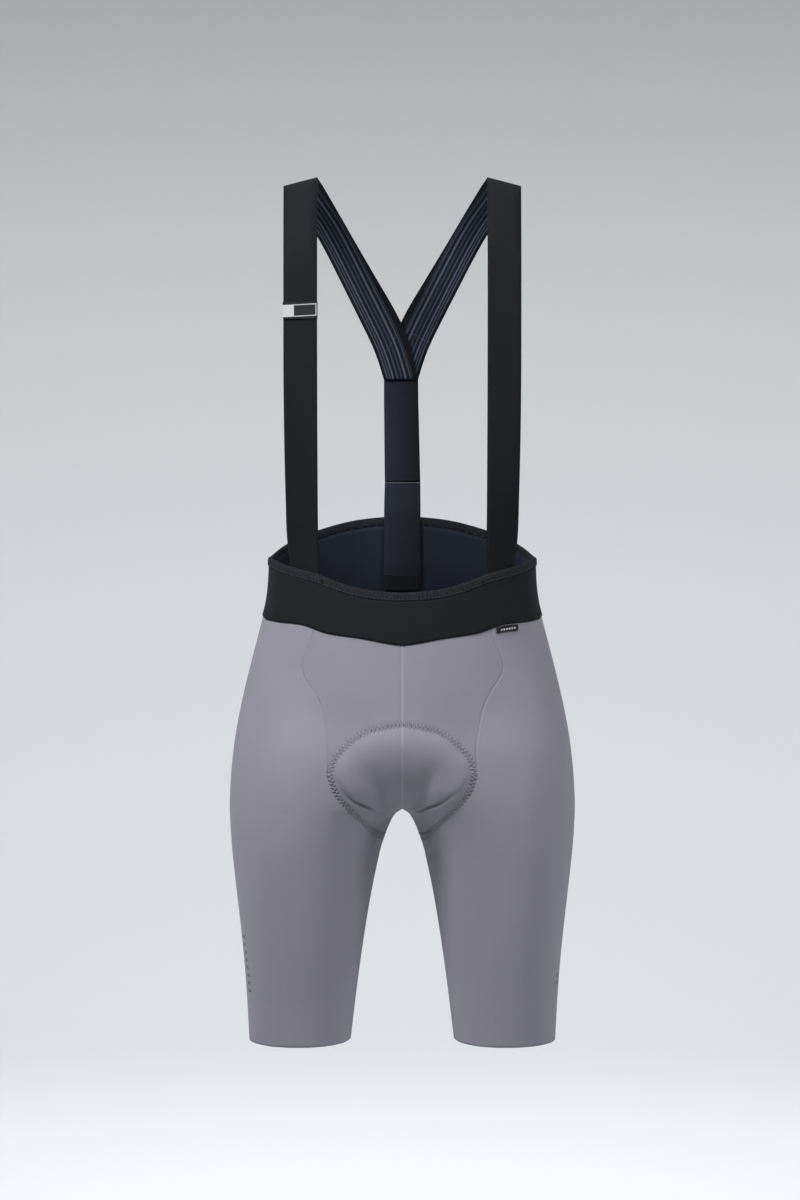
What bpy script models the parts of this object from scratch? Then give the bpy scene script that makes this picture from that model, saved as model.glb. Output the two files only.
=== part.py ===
"""Cycling bib shorts in the shape they have when worn, men's size M.

The garment hangs from its two brace straps: the origin lies midway between their crests on the
shoulders.  +Z is up, the front faces -Y and the wearer's left is +X.  Every piece of cloth is a
closed wall lofted between sections worked out from the tables below.
"""
import math

import bmesh
import bpy
import numpy as np

MM = 0.001

# ---------------------------------------------------------------- cloth and seams
KNIT_WALL = 1.5 * MM
YOKE_WALL = 1.8 * MM
STRAP_WALL = 1.3 * MM
LABEL_WALL = 0.8 * MM
SEAM_GAP = 0.3 * MM
YOKE_PROUD = 1.0 * MM
BINDING_HEIGHT = 8.6 * MM
BINDING_WALL = 3.4 * MM
BINDING_ROUND = 0.9 * MM

# ---------------------------------------------------------------- figure
# Level sections of one half of the body.  half_width is measured from the centre plane, front
# and back are the depths of the oval on either side of the side line, fullness is the exponent
# of the oval (2 is an ellipse, more is squarer).
SECTION_COLUMNS = ("height", "half_width", "front", "back", "fullness")
SECTIONS = (
    (-330, 137.5, 93, 91, 2.30),
    (-394, 139.3, 93, 94, 2.30),
    (-412, 139.6, 95, 97, 2.30),
    (-437, 141.8, 99, 103, 2.30),
    (-459, 147.2, 103, 109, 2.30),
    (-503, 158.6, 109, 121, 2.35),
    (-546, 169.0, 113, 129, 2.40),
    (-586, 176.4, 114, 131, 2.40),
    (-628, 180.6, 112, 126, 2.40),
    (-657, 181.7, 109, 117, 2.35),
    (-690, 180.2, 104.5, 107, 2.30),
    (-729, 176.4, 98.5, 97, 2.25),
    (-754, 173.4, 94, 92, 2.20),
    (-796, 168.6, 86, 84, 2.15),
    (-836, 165.0, 77.5, 77, 2.10),
    (-867, 163.0, 71.5, 72, 2.10),
    (-905, 161.0, 65, 68, 2.10),
)
CROTCH_HEIGHT = -657.3 * MM
# The gap between the legs is an arch: its half-width is ARCH_RATE times the root of the drop.
ARCH_RATE = 0.1105
# Height over which the two thigh ovals run into one hip oval, in front and behind.
MERGE_FRONT = 240 * MM
MERGE_BACK = 320 * MM
# Sharpness with which the two ovals are joined; more leaves a deeper valley between them.
JOIN_FRONT = 6.0
JOIN_BACK = 12.0
# How far the thickest line of a thigh moves outwards below the crotch.
THIGH_SHIFT = 26 * MM
SLOPE_STEP = 0.2 * MM
SURFACE_PASSES = 4

# ---------------------------------------------------------------- waist edge and yoke
# Top edge of the binding and lower edge of the yoke, against the distance x from the centre
# plane measured as a share of the half-width.
EDGE_COLUMNS = ("share", "height")
WAIST_TOP_FRONT = (
    (0, -432.0),
    (0.22, -429.8),
    (0.44, -422.6),
    (0.62, -412.8),
    (0.85, -403.8),
    (1, -394.5),
)
WAIST_TOP_BACK = ((0, -348.0), (0.30, -351.5), (0.65, -364.0), (0.90, -381.0), (1, -394.5))
YOKE_LOW_FRONT = (
    (0, -486.0),
    (0.14, -482.3),
    (0.28, -478.2),
    (0.42, -475.4),
    (0.552, -472.0),
    (0.612, -468.0),
    (0.68, -464.6),
    (0.88, -461.6),
    (0.97, -458.6),
    (1, -454.5),
)
YOKE_LOW_BACK = ((0, -445.0), (0.5, -447.0), (0.9, -452.0), (1, -454.5))
YOKE_ROWS = 4
EDGE_PASSES = 12

# ---------------------------------------------------------------- grey knit panels
# Outer seam of the front panel: it swings out over the hip, comes in, and runs beside the seat
# pad to the inseam.
FRONT_SEAM_COLUMNS = ("height", "x")
FRONT_SEAM = (
    (-460, 88.5),
    (-474, 90.5),
    (-490, 98.5),
    (-503, 103.5),
    (-512, 102.5),
    (-522, 97.0),
    (-533, 89.5),
    (-543, 83.5),
    (-556, 80.0),
    (-571, 77.0),
    (-586, 74.0),
    (-605, 74.5),
    (-617, 75.0),
    (-630, 70.5),
    (-643, 61.5),
    (-654, 51.0),
    (-664, 41.0),
    (-672, 34.5),
    (-684, 28.5),
    (-692, 27.0),
    (-701, 22.0),
)
# Levels of the panels' rows; the first follows the yoke, and the rows settle level by SETTLED.
ROW_LEVELS = (
    (-460, -474, -488, -501, -513, -526, -540, -555, -571, -588, -604, -618)
    + (-630, -640, -647.5, -652.5, -655.8, -657.3, -660, -665, -672, -681, -691, -701)
    + (-705, -716, -736, -758, -782, -806, -830, -854, -877, -899)
)
SETTLED = -560 * MM
FRONT_PANEL_TIP = -702 * MM
# Least width of the front panel as a turn round the thigh, which it has at its tip.
TIP_TURN = 0.04
# Height over which the leg panel's inner columns settle below that tip.
TIP_EASE = 90 * MM
FRONT_COLUMNS = 8
SIDE_COLUMNS = 9
BACK_COLUMNS = 13
SEAM_COLUMN = FRONT_COLUMNS
SIDE_COLUMN = FRONT_COLUMNS + SIDE_COLUMNS
LAST_COLUMN = SIDE_COLUMN + BACK_COLUMNS

# ---------------------------------------------------------------- seat pad
# The pad follows the line in which the crotch meets the centre plane.  along is measured on
# that line from the crotch, towards the front when it is less than 0.  lift is how far the pad
# pushes the knit out, depth how thick the pad is inside it.  The line is followed up to
# CROTCH_LINE_RISE in front and behind.
CROTCH_LINE_RISE = 150 * MM
CROTCH_LINE_STEPS = 59
PAD_COLUMNS = ("along", "half_width", "lift", "depth")
PAD = (
    (-174, 2, 0.0, 2.5),
    (-169, 31, 1.0, 3.0),
    (-159, 49, 2.6, 4.0),
    (-146, 61, 3.8, 5.0),
    (-130, 72, 4.2, 6.0),
    (-116, 73, 4.0, 6.5),
    (-104, 65.5, 3.4, 7.0),
    (-92, 55.5, 2.6, 7.0),
    (-65, 43.5, 1.6, 7.0),
    (-35, 40, 0.7, 7.0),
    (0, 40, 0.5, 7.0),
    (40, 46, 0.8, 7.5),
    (85, 60, 2.0, 8.5),
    (125, 76, 3.0, 9.0),
    (158, 80, 3.0, 8.0),
    (184, 68, 2.4, 6.0),
    (200, 44, 1.2, 4.0),
    (208, 2, 0.0, 2.5),
)
PAD_EDGE = 12 * MM
PAD_CLEARANCE = 2.1 * MM
PAD_RIM = 2.2 * MM
# Fullness of the pad's cross section: 2 would be an ellipse.
PAD_SWELL = 4
PAD_STATIONS = 25
PAD_HALF_COLUMNS = 7
WALK_STEP = 2.5 * MM

# ---------------------------------------------------------------- brace straps
# Edges of the wearer's left brace as seen from the front; the wearer's right one is its mirror
# image.  Over the shoulder each edge is an arch as deep as the chest or the upper back.
CREST_SLOPE = 0.258
CREST_X = 107.0 * MM
CREST_HEIGHT = 0.4 * MM
CHEST_DEPTH = 92 * MM
CHEST_DROP = 105 * MM
UPPER_BACK_DEPTH = 98 * MM
UPPER_BACK_DROP = 105 * MM
FRONT_STRAP_COLUMNS = ("height", "inner_x", "outer_x", "inner_y", "outer_y")
FRONT_STRAP = (
    (-345, 86.8, 119.4, -84.5, -70.0),
    (-300, 86.8, 120.4, -88.0, -79.0),
    (-250, 86.8, 121.0, -90.6, -86.0),
    (-195, 86.8, 121.3, -92.0, -90.6),
)
FRONT_STRAP_LEVELS = (-372, -345, -315, -280, -240, -195)
# The tail lies inside the yoke between these edges and below STRAP_FREE_HEIGHT.
STRAP_RIM_EDGES = (87.3 * MM, 118.0 * MM)
STRAP_TAIL_HEIGHT = -446 * MM
STRAP_FREE_HEIGHT = -400 * MM
STRAP_CLEARANCE = 0.9 * MM
FRONT_ARCH_EDGES = {"crest": (89.3, 124.7), "chest": (86.8, 121.2)}
FRONT_ARCH_ANGLES = (90, 72, 55, 39, 25, 12)
BACK_EDGE_COLUMNS = ("station", "inner_x", "inner_z", "outer_x", "outer_z")
BACK_STRAP_EDGES = (
    (0, 89.3, 5.0, 124.7, -4.2),
    (1, 85.8, 2.4, 117.3, -11.2),
    (2, 80.6, -4.2, 108.5, -22.2),
    (3, 73.2, -14.9, 99.7, -33.8),
    (4, 63.3, -30.1, 90.9, -46.7),
    (5, 49.3, -53.1, 78.6, -68.5),
    (6, 35.7, -75.5, 66.6, -91.9),
    (7, 21.5, -99.5, 54.5, -115.8),
    (8, 7.9, -122.4, 42.8, -139.1),
    (9, -4.7, -148.1, 30.9, -163.5),
    (10, -11.8, -169.2, 24.2, -181.4),
    (11, -18.4, -199.3, 18.6, -199.9),
)
STRAP_STATIONS_PER_ROW = 2
STRAP_COLUMNS = 3
# At the Y one brace lies on the other and both sit a little to the wearer's right.  The first
# is reached a third of the way from the crest, the second by five sixths of it.
LAYER = STRAP_WALL + SEAM_GAP
LAYER_PACE = 3
JUNCTION_SHIFT = -1.4 * MM
SHIFT_PACE = 1.2

# ---------------------------------------------------------------- centre-back strap
# Edges and depth of the strap's outer face; below TUCK_RISE over the rim it lies inside the
# back yoke.
BACK_STRAP_COLUMNS = ("height", "right_x", "left_x", "y")
BACK_STRAP = (
    (-184, -19.8, 17.2, 101.2),
    (-200, -19.8, 17.3, 101.2),
    (-215, -19.8, 17.4, 101.0),
    (-250, -19.5, 18.2, 99.4),
    (-285, -19.2, 19.0, 95.8),
    (-312, -18.8, 19.6, 92.4),
    (-335, -19.6, 19.8, 89.9),
)
BACK_STRAP_EDGES_AT_RIM = (-19.6 * MM, 19.8 * MM)
TUCK_RISE = 6 * MM
UPPER_STRAP_LEVELS = (-184, -200, -222, -250, -280, -312)
LOWER_STRAP_LEVELS = (-312, -328, -344, -356, -374, -402, -430)

# ---------------------------------------------------------------- labels
STRAP_LABEL_TOP = -135.6 * MM
STRAP_LABEL_BOTTOM = -152.6 * MM
STRAP_LABEL_OVERHANG = 0.5 * MM
LABEL_LIFT = 0.6 * MM
TAB_START = 96 * MM
TAB_END = 118 * MM
TAB_LEVEL = -463 * MM
TAB_TOP = 1.0 * MM
TAB_DROP = 7.6 * MM

# ---------------------------------------------------------------- materials
# Name, linear colour and roughness.
GREY = ("Grey knit", (0.262, 0.252, 0.303, 1.0), 0.55)
BLACK = ("Black knit", (0.018, 0.019, 0.022, 1.0), 0.6)
HEATHER = ("Heather binding", (0.040, 0.042, 0.046, 1.0), 0.8)
BRACE = ("Brace elastic", (0.018, 0.019, 0.022, 1.0), 0.7)
NAVY = ("Navy elastic", (0.012, 0.016, 0.030, 1.0), 0.75)
PAD_FOAM = ("Seat pad foam", (0.05, 0.055, 0.07, 1.0), 0.9)
WOVEN = ("Woven label", (0.010, 0.010, 0.012, 1.0), 0.5)


# ---------------------------------------------------------------- tables
def column_curve(table, column, key=0, scale=MM):
    """Smooth curve through one column of a table against its key column."""
    rows = sorted(table, key=lambda row: row[key])
    places = np.array([row[key] for row in rows], float)
    values = np.array([row[column] for row in rows], float) * scale
    steps = np.diff(places)
    rates = np.diff(values) / steps
    tangents = np.empty(len(values))
    tangents[0] = rates[0]
    tangents[-1] = rates[-1]
    for i in range(1, len(values) - 1):
        if rates[i - 1] * rates[i] <= 0:
            tangents[i] = 0
        else:
            before = 2 * steps[i] + steps[i - 1]
            after = steps[i] + 2 * steps[i - 1]
            tangents[i] = (before + after) / (before / rates[i - 1] + after / rates[i])

    def curve(place):
        place = min(max(place, places[0]), places[-1])
        i = min(int(np.searchsorted(places, place, side="right")) - 1, len(steps) - 1)
        t = (place - places[i]) / steps[i]
        rise = values[i + 1] - values[i]
        ease = t * t * (3 - 2 * t)
        start = t * (1 - t) ** 2 * steps[i] * tangents[i]
        end = t * t * (t - 1) * steps[i] * tangents[i + 1]
        return values[i] + ease * rise + start + end

    return curve


def by_height(table, column, scale=MM):
    """Curve of a table whose key is a height in millimetres, read at a height in metres."""
    curve = column_curve(table, column, 0, scale)
    return lambda height: curve(height / MM)


half_width_at = by_height(SECTIONS, SECTION_COLUMNS.index("half_width"))
front_depth_at = by_height(SECTIONS, SECTION_COLUMNS.index("front"))
back_depth_at = by_height(SECTIONS, SECTION_COLUMNS.index("back"))
fullness_at = by_height(SECTIONS, SECTION_COLUMNS.index("fullness"), 1.0)
front_seam_at = by_height(FRONT_SEAM, FRONT_SEAM_COLUMNS.index("x"))
waist_front = column_curve(WAIST_TOP_FRONT, EDGE_COLUMNS.index("height"))
waist_back = column_curve(WAIST_TOP_BACK, EDGE_COLUMNS.index("height"))
yoke_low_front = column_curve(YOKE_LOW_FRONT, EDGE_COLUMNS.index("height"))
yoke_low_back = column_curve(YOKE_LOW_BACK, EDGE_COLUMNS.index("height"))


# ---------------------------------------------------------------- the figure's surface
def inner_edge(height, behind):
    """x at which a thigh's oval ends inside: past the centre above the crotch, the gap below."""
    rise = height - CROTCH_HEIGHT
    if rise < 0:
        return ARCH_RATE * math.sqrt(-rise)
    share = min(rise / (MERGE_BACK if behind else MERGE_FRONT), 1)
    return -half_width_at(height) * math.sin(share * math.pi / 2)


def oval(height, behind):
    """Thickest line of a thigh's oval, and its reach from there inwards and outwards."""
    outer = half_width_at(height)
    inner = inner_edge(height, behind)
    drop = CROTCH_HEIGHT - height
    if drop <= 0:
        return (outer + inner) / 2, (outer - inner) / 2, (outer - inner) / 2
    merge = MERGE_BACK if behind else MERGE_FRONT
    pace = THIGH_SHIFT * merge * 4 / (math.pi * half_width_at(CROTCH_HEIGHT))
    centre = outer / 2 + THIGH_SHIFT * (1 - math.exp(-drop / pace))
    return centre, centre - inner, outer - centre


def depth_share(x, height, behind):
    """Depth of the joined ovals at x as a share of their full depth, squared."""
    centre, inward, outwards = oval(height, behind)
    power = fullness_at(height)
    join = JOIN_BACK if behind else JOIN_FRONT

    def single(place):
        reach = outwards if place > centre else inward
        return max(1 - abs((place - centre) / reach) ** power, 0)

    def joined(place):
        return (single(place) ** (join / 2) + single(-place) ** (join / 2)) ** (2 / join)

    return joined(x) / joined(centre)


def beyond_surface(point):
    """Less than 0 inside the figure, 0 on its surface, more than 0 outside it."""
    x, y, height = point
    behind = y > 0
    depth = back_depth_at(height) if behind else front_depth_at(height)
    return (y / depth) ** 2 - depth_share(x, height, behind)


def outward(point):
    """Unit normal of the figure's surface and the slope along it."""
    slope = np.zeros(3)
    for axis in range(3):
        step = np.zeros(3)
        step[axis] = SLOPE_STEP
        slope[axis] = (beyond_surface(point + step) - beyond_surface(point - step)) / (2 * SLOPE_STEP)
    if abs(point[0]) < SLOPE_STEP / 2:
        slope[0] = 0
    size = np.linalg.norm(slope)
    return slope / size, size


def surface_point(turn, height):
    """Point of the wearer's left half; turn runs from 0 at the inseam, over pi at the side,
    to 2 pi at the inseam again."""
    behind = turn > math.pi
    centre, inward, outwards = oval(height, behind)
    swing = math.cos(turn)
    x = centre - (inward if swing > 0 else outwards) * swing
    depth = back_depth_at(height) if behind else front_depth_at(height)
    y = depth * math.sqrt(max(depth_share(x, height, behind), 0))
    return np.array((max(x, 0.0), y if behind else -y, height))


def start_turn(height, behind):
    """Turn at which a half section begins: on the centre plane, or at the inseam."""
    centre, inward, _ = oval(height, behind)
    return math.acos(min(centre / inward, 1.0))


def turn_at(x, height, behind=False):
    """Turn at which a half section passes x."""
    centre, inward, outwards = oval(height, behind)
    reach = outwards if x > centre else inward
    turn = math.acos(min(max((centre - x) / reach, -1.0), 1.0))
    return 2 * math.pi - turn if behind else turn


# ---------------------------------------------------------------- columns and rows
def column_turn(column, height):
    """Turn of a panel column at a height: centre front, front seam, side line, centre back."""
    start = start_turn(height, False)
    drop = FRONT_PANEL_TIP - height
    if drop < 0:
        seam = max(turn_at(front_seam_at(height), height), start + TIP_TURN)
    elif column == SEAM_COLUMN:
        return start
    else:
        seam = start + TIP_TURN * max(1 - drop / TIP_EASE, 0)
    if column <= SEAM_COLUMN:
        return start + (seam - start) * column / FRONT_COLUMNS
    if column <= SIDE_COLUMN:
        return seam + (math.pi - seam) * (column - SEAM_COLUMN) / SIDE_COLUMNS
    end = 2 * math.pi - start_turn(height, True)
    return math.pi + (end - math.pi) * (column - SIDE_COLUMN) / BACK_COLUMNS


def edge_height(column, front_curve, back_curve):
    """Height at which a column meets an edge given against its share of the half-width."""
    curve = back_curve if column > SIDE_COLUMN else front_curve
    height = curve(1.0)
    for _ in range(EDGE_PASSES):
        x = surface_point(column_turn(column, height), height)[0]
        height = curve(min(x / half_width_at(height), 1.0))
    return height


YOKE_LOW = [edge_height(k, yoke_low_front, yoke_low_back) for k in range(LAST_COLUMN + 1)]
BINDING_TOP = [edge_height(k, waist_front, waist_back) for k in range(LAST_COLUMN + 1)]


def row_height(row, column):
    """Height of a panel point: the first row lies on the yoke's lower edge."""
    level = ROW_LEVELS[row] * MM
    top = ROW_LEVELS[0] * MM
    if level <= SETTLED:
        return level
    left = (level - SETTLED) / (top - SETTLED)
    return level + (YOKE_LOW[column] - top) * left ** 1.5


# ---------------------------------------------------------------- seat pad relief
def crotch_line():
    """Points of the centre line from the front of the pad, under the crotch, to its back."""
    line = []
    for behind in (False, True):
        half = []
        for rise in np.linspace(0, 1, CROTCH_LINE_STEPS + 1) ** 2 * CROTCH_LINE_RISE:
            height = CROTCH_HEIGHT + rise
            share = depth_share(0.0, height, behind) if rise > 0 else 0.0
            depth = back_depth_at(height) if behind else front_depth_at(height)
            y = depth * math.sqrt(max(share, 0))
            half.append((0.0, y if behind else -y, height))
        line = half[::-1] if not behind else line + half[1:]
    points = np.array(line)
    steps = np.linalg.norm(np.diff(points, axis=0), axis=1)
    along = np.concatenate(([0.0], np.cumsum(steps)))
    return points, along - along[CROTCH_LINE_STEPS]


CROTCH_POINTS, CROTCH_ALONG = crotch_line()
pad_half_width = column_curve(PAD, PAD_COLUMNS.index("half_width"))
pad_lift_height = column_curve(PAD, PAD_COLUMNS.index("lift"))
pad_depth = column_curve(PAD, PAD_COLUMNS.index("depth"))


def smooth_step(value):
    value = min(max(value, 0.0), 1.0)
    return value * value * (3 - 2 * value)


def pad_lift(point):
    """How far the pad pushes the knit out at a point of the figure."""
    gaps = CROTCH_POINTS - point
    nearest = int(np.argmin(gaps[:, 1] ** 2 + gaps[:, 2] ** 2))
    along = CROTCH_ALONG[nearest] / MM
    if along <= PAD[0][0] or along >= PAD[-1][0]:
        return 0.0
    inside = pad_half_width(along) - np.linalg.norm(gaps[nearest])
    return pad_lift_height(along) * smooth_step(inside / PAD_EDGE)


def knit_point(turn, height):
    """Outer and inner point of the grey knit."""
    point = surface_point(turn, height)
    normal, _ = outward(point)
    outer = point + normal * pad_lift(point)
    return outer, outer - normal * KNIT_WALL


# ---------------------------------------------------------------- walls
def pull_in(grid, sides, distance=SEAM_GAP / 2):
    """Draw the named sides of a grid of points back from their seam."""
    moved = grid.copy()

    def shift(edge, inside):
        run = inside - edge
        length = np.linalg.norm(run, axis=1, keepdims=True)
        return edge + run / np.maximum(length, 1e-9) * distance

    if "top" in sides:
        moved[0] = shift(moved[0], moved[1])
    if "bottom" in sides:
        moved[-1] = shift(moved[-1], moved[-2])
    if "start" in sides:
        moved[:, 0] = shift(moved[:, 0], moved[:, 1])
    if "end" in sides:
        moved[:, -1] = shift(moved[:, -1], moved[:, -2])
    return moved


def add_material(obj, name, colour, roughness):
    material = bpy.data.materials.get(name)
    if material is None:
        material = bpy.data.materials.new(name)
        material.use_nodes = True
        shader = material.node_tree.nodes["Principled BSDF"]
        shader.inputs["Base Color"].default_value = colour
        shader.inputs["Roughness"].default_value = roughness
        shader.inputs["Metallic"].default_value = 0.0
    obj.data.materials.append(material)


def add_solid(name, points, faces, material):
    """Object from points and faces, with one material given as (name, colour, roughness)."""
    mesh = bpy.data.meshes.new(name)
    mesh.from_pydata([tuple(p) for p in points], [], faces)
    model = bmesh.new()
    model.from_mesh(mesh)
    bmesh.ops.triangulate(model, faces=model.faces[:], quad_method="SHORT_EDGE")
    bmesh.ops.recalc_face_normals(model, faces=model.faces[:])
    model.to_mesh(mesh)
    model.free()
    mesh.shade_smooth()
    obj = bpy.data.objects.new(name, mesh)
    add_material(obj, *material)
    return obj


def cloth_wall(name, outer, inner, material, mirrored=False):
    """Closed wall between two grids of points; mirrored makes the wearer's right one."""
    rows, columns = outer.shape[:2]
    points = np.concatenate((outer.reshape(-1, 3), inner.reshape(-1, 3)))
    if mirrored:
        points = points * (-1, 1, 1)
    size = rows * columns
    last = columns - 1
    low = (rows - 1) * columns
    faces = []
    for i in range(rows - 1):
        here = i * columns
        below = here + columns
        for k in range(last):
            corners = (here + k, below + k, below + k + 1, here + k + 1)
            faces.append(corners)
            faces.append(tuple(size + c for c in reversed(corners)))
        faces.append((below, here, size + here, size + below))
        faces.append((here + last, below + last, size + below + last, size + here + last))
    for k in range(last):
        faces.append((k, k + 1, size + k + 1, size + k))
        faces.append((low + k + 1, low + k, size + low + k, size + low + k + 1))
    return add_solid(name, points, faces, material)


# ---------------------------------------------------------------- grey knit
def knit_grids(first_column, last_column, rows):
    outer = []
    inner = []
    for i in rows:
        pairs = []
        for k in range(first_column, last_column + 1):
            height = row_height(i, k)
            pairs.append(knit_point(column_turn(k, height), height))
        outer.append([p[0] for p in pairs])
        inner.append([p[1] for p in pairs])
    return np.array(outer), np.array(inner)


def build_front_panel(name, mirrored):
    tip_row = [i for i, level in enumerate(ROW_LEVELS) if level * MM > FRONT_PANEL_TIP][-1]
    outer, inner = knit_grids(0, SEAM_COLUMN, range(tip_row + 1))
    sides = ("top", "bottom", "start", "end")
    return cloth_wall(name, pull_in(outer, sides), pull_in(inner, sides), GREY, mirrored)


def build_leg_panel(name, mirrored):
    outer, inner = knit_grids(SEAM_COLUMN, LAST_COLUMN, range(len(ROW_LEVELS)))
    sides = ("top", "start", "end")
    return cloth_wall(name, pull_in(outer, sides), pull_in(inner, sides), GREY, mirrored)


# ---------------------------------------------------------------- yoke and binding
def yoke_column(column):
    """Outer and inner points of the yoke down one column."""
    top = BINDING_TOP[column] - BINDING_HEIGHT - SEAM_GAP
    bottom = YOKE_LOW[column]
    outer = []
    inner = []
    for i in range(YOKE_ROWS + 1):
        height = top + (bottom - top) * i / YOKE_ROWS
        point = surface_point(column_turn(column, height), height)
        normal, _ = outward(point)
        outer.append(point + normal * YOKE_PROUD)
        inner.append(point + normal * (YOKE_PROUD - YOKE_WALL))
    return outer, inner


def across_centre(grid, centre_first):
    """Grid of both halves from the half of the wearer's left side."""
    other = grid * (-1, 1, 1)
    if centre_first:
        return np.concatenate((other[:, :0:-1], grid), axis=1)
    return np.concatenate((grid, other[:, -2::-1]), axis=1)


def build_yoke(name, first, last, centre_first):
    """Front or back yoke, from the given columns of one half and their mirror image."""
    half = [yoke_column(k) for k in range(first, last + 1)]
    outer = across_centre(np.array([c[0] for c in half]).transpose(1, 0, 2), centre_first)
    inner = across_centre(np.array([c[1] for c in half]).transpose(1, 0, 2), centre_first)
    sides = ("bottom", "start", "end")
    return cloth_wall(name, pull_in(outer, sides), pull_in(inner, sides), BLACK)


def binding_profile():
    """Section of the folded tape as (in from the outer face, down from the top)."""
    wide = BINDING_WALL
    tall = BINDING_HEIGHT
    cut = BINDING_ROUND
    return (
        (cut, 0.0),
        (0.0, cut),
        (0.0, tall - cut),
        (cut, tall),
        (wide - cut, tall),
        (wide, tall - cut),
        (wide, cut),
        (wide - cut, 0.0),
    )


def build_binding():
    """Ring of tape that stands on the yoke's top edge, level with it at each column."""
    outside = YOKE_PROUD + (BINDING_WALL - YOKE_WALL) / 2
    columns = list(range(LAST_COLUMN + 1)) + list(range(LAST_COLUMN - 1, 0, -1))
    rings = []
    for place, k in enumerate(columns):
        top = BINDING_TOP[k]
        ring = []
        for inward, down in binding_profile():
            point = surface_point(column_turn(k, top - down), top - down)
            normal, _ = outward(point)
            level = np.array((normal[0], normal[1], 0.0))
            level /= np.linalg.norm(level)
            ring.append(point + level * (outside - inward))
        ring = np.array(ring)
        if place > LAST_COLUMN:
            ring = ring * (-1, 1, 1)
        rings.append(ring)
    count = len(rings)
    sides = len(rings[0])
    faces = []
    for i in range(count):
        after = (i + 1) % count
        for k in range(sides):
            turn = (k + 1) % sides
            faces.append((i * sides + k, i * sides + turn, after * sides + turn, after * sides + k))
    points = [point for ring in rings for point in ring]
    return add_solid("waist_binding", points, faces, HEATHER)


# ---------------------------------------------------------------- straps
def under_yoke(x, height, behind):
    """Point of the outer face of a strap that lies inside the yoke and its binding."""
    point = surface_point(turn_at(x, height, behind), height)
    normal, _ = outward(point)
    inside = YOKE_WALL - YOKE_PROUD + (BINDING_WALL - YOKE_WALL) / 2 + STRAP_CLEARANCE
    level = np.array((normal[0], normal[1], 0.0))
    return point - level / np.linalg.norm(level) * inside


def crest_height(x):
    """Height of the shoulder's crest: it rises towards the neck."""
    return CREST_HEIGHT + (CREST_X - abs(x)) * CREST_SLOPE


def shoulder_depth(x, height, behind):
    """Depth of the arch over the shoulder at a point seen from the front."""
    depth = UPPER_BACK_DEPTH if behind else CHEST_DEPTH
    drop = UPPER_BACK_DROP if behind else CHEST_DROP
    share = min(max((crest_height(x) - height) / drop, 0), 1)
    y = depth * math.sqrt(share * (2 - share))
    return y if behind else -y


def strap_edges():
    """Inner and outer edge points of the wearer's left brace, from its tail inside the yoke to
    its end at the Y, and the share of the way to the Y behind the shoulder."""
    stations = []
    inner_x, outer_x = STRAP_RIM_EDGES
    for height in (STRAP_TAIL_HEIGHT, (STRAP_TAIL_HEIGHT + STRAP_FREE_HEIGHT) / 2, STRAP_FREE_HEIGHT):
        pair = (under_yoke(inner_x, height, False), under_yoke(outer_x, height, False))
        stations.append((*pair, 0.0))
    curves = [by_height(FRONT_STRAP, FRONT_STRAP_COLUMNS.index(c)) for c in FRONT_STRAP_COLUMNS[1:]]
    for height in FRONT_STRAP_LEVELS:
        level = height * MM
        near_x, far_x, near_y, far_y = [curve(level) for curve in curves]
        if height < FRONT_STRAP[0][0]:
            share = (FRONT_STRAP[0][0] * MM - level) / (FRONT_STRAP[0][0] * MM - STRAP_FREE_HEIGHT)
            near_y += (stations[2][0][1] - near_y) * smooth_step(share)
            far_y += (stations[2][1][1] - far_y) * smooth_step(share)
        stations.append((np.array((near_x, near_y, level)), np.array((far_x, far_y, level)), 0.0))
    for angle in FRONT_ARCH_ANGLES:
        drop = CHEST_DROP * (1 - math.cos(math.radians(angle)))
        forward = math.sin(math.radians(angle))
        pair = []
        for crest_x, chest_x in zip(FRONT_ARCH_EDGES["crest"], FRONT_ARCH_EDGES["chest"]):
            x = (crest_x + (chest_x - crest_x) * forward) * MM
            height = crest_height(x) - drop
            pair.append(np.array((x, shoulder_depth(x, height, False), height)))
        stations.append((*pair, 0.0))
    curves = [column_curve(BACK_STRAP_EDGES, BACK_EDGE_COLUMNS.index(c)) for c in BACK_EDGE_COLUMNS[1:]]
    last = BACK_STRAP_EDGES[-1][0]
    for step in range(last * STRAP_STATIONS_PER_ROW + 1):
        near_x, near_z, far_x, far_z = [curve(step / STRAP_STATIONS_PER_ROW) for curve in curves]
        near = np.array((near_x, shoulder_depth(near_x, near_z, True), near_z))
        far = np.array((far_x, shoulder_depth(far_x, far_z, True), far_z))
        stations.append((near, far, step / (last * STRAP_STATIONS_PER_ROW)))
    return stations


def ribbon(edges, columns):
    """Grid across a strap between its two edges."""
    rows = []
    for near, far in edges:
        rows.append([near + (far - near) * k / columns for k in range(columns + 1)])
    return np.array(rows)


def ribbon_normals(grid):
    """Unit normals of a ribbon, on the side that its rows turn clockwise about."""
    along = np.gradient(grid, axis=0)
    across = np.gradient(grid, axis=1)
    normals = np.cross(along, across)
    return normals / np.linalg.norm(normals, axis=2, keepdims=True)


def build_strap(name, mirrored, layer):
    """One brace; layer is how many thicknesses it lies behind the other at the Y."""
    edges = []
    for near, far, share in strap_edges():
        side = JUNCTION_SHIFT * smooth_step(share * SHIFT_PACE) * (-1 if mirrored else 1)
        shift = np.array((side, layer * LAYER * smooth_step(share * LAYER_PACE), 0.0))
        edges.append((near + shift, far + shift))
    outer = ribbon(edges, STRAP_COLUMNS)
    normals = ribbon_normals(outer)
    if normals[0, 0, 1] > 0:
        normals = -normals
    return cloth_wall(name, outer, outer - normals * STRAP_WALL, BRACE, mirrored)


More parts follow.
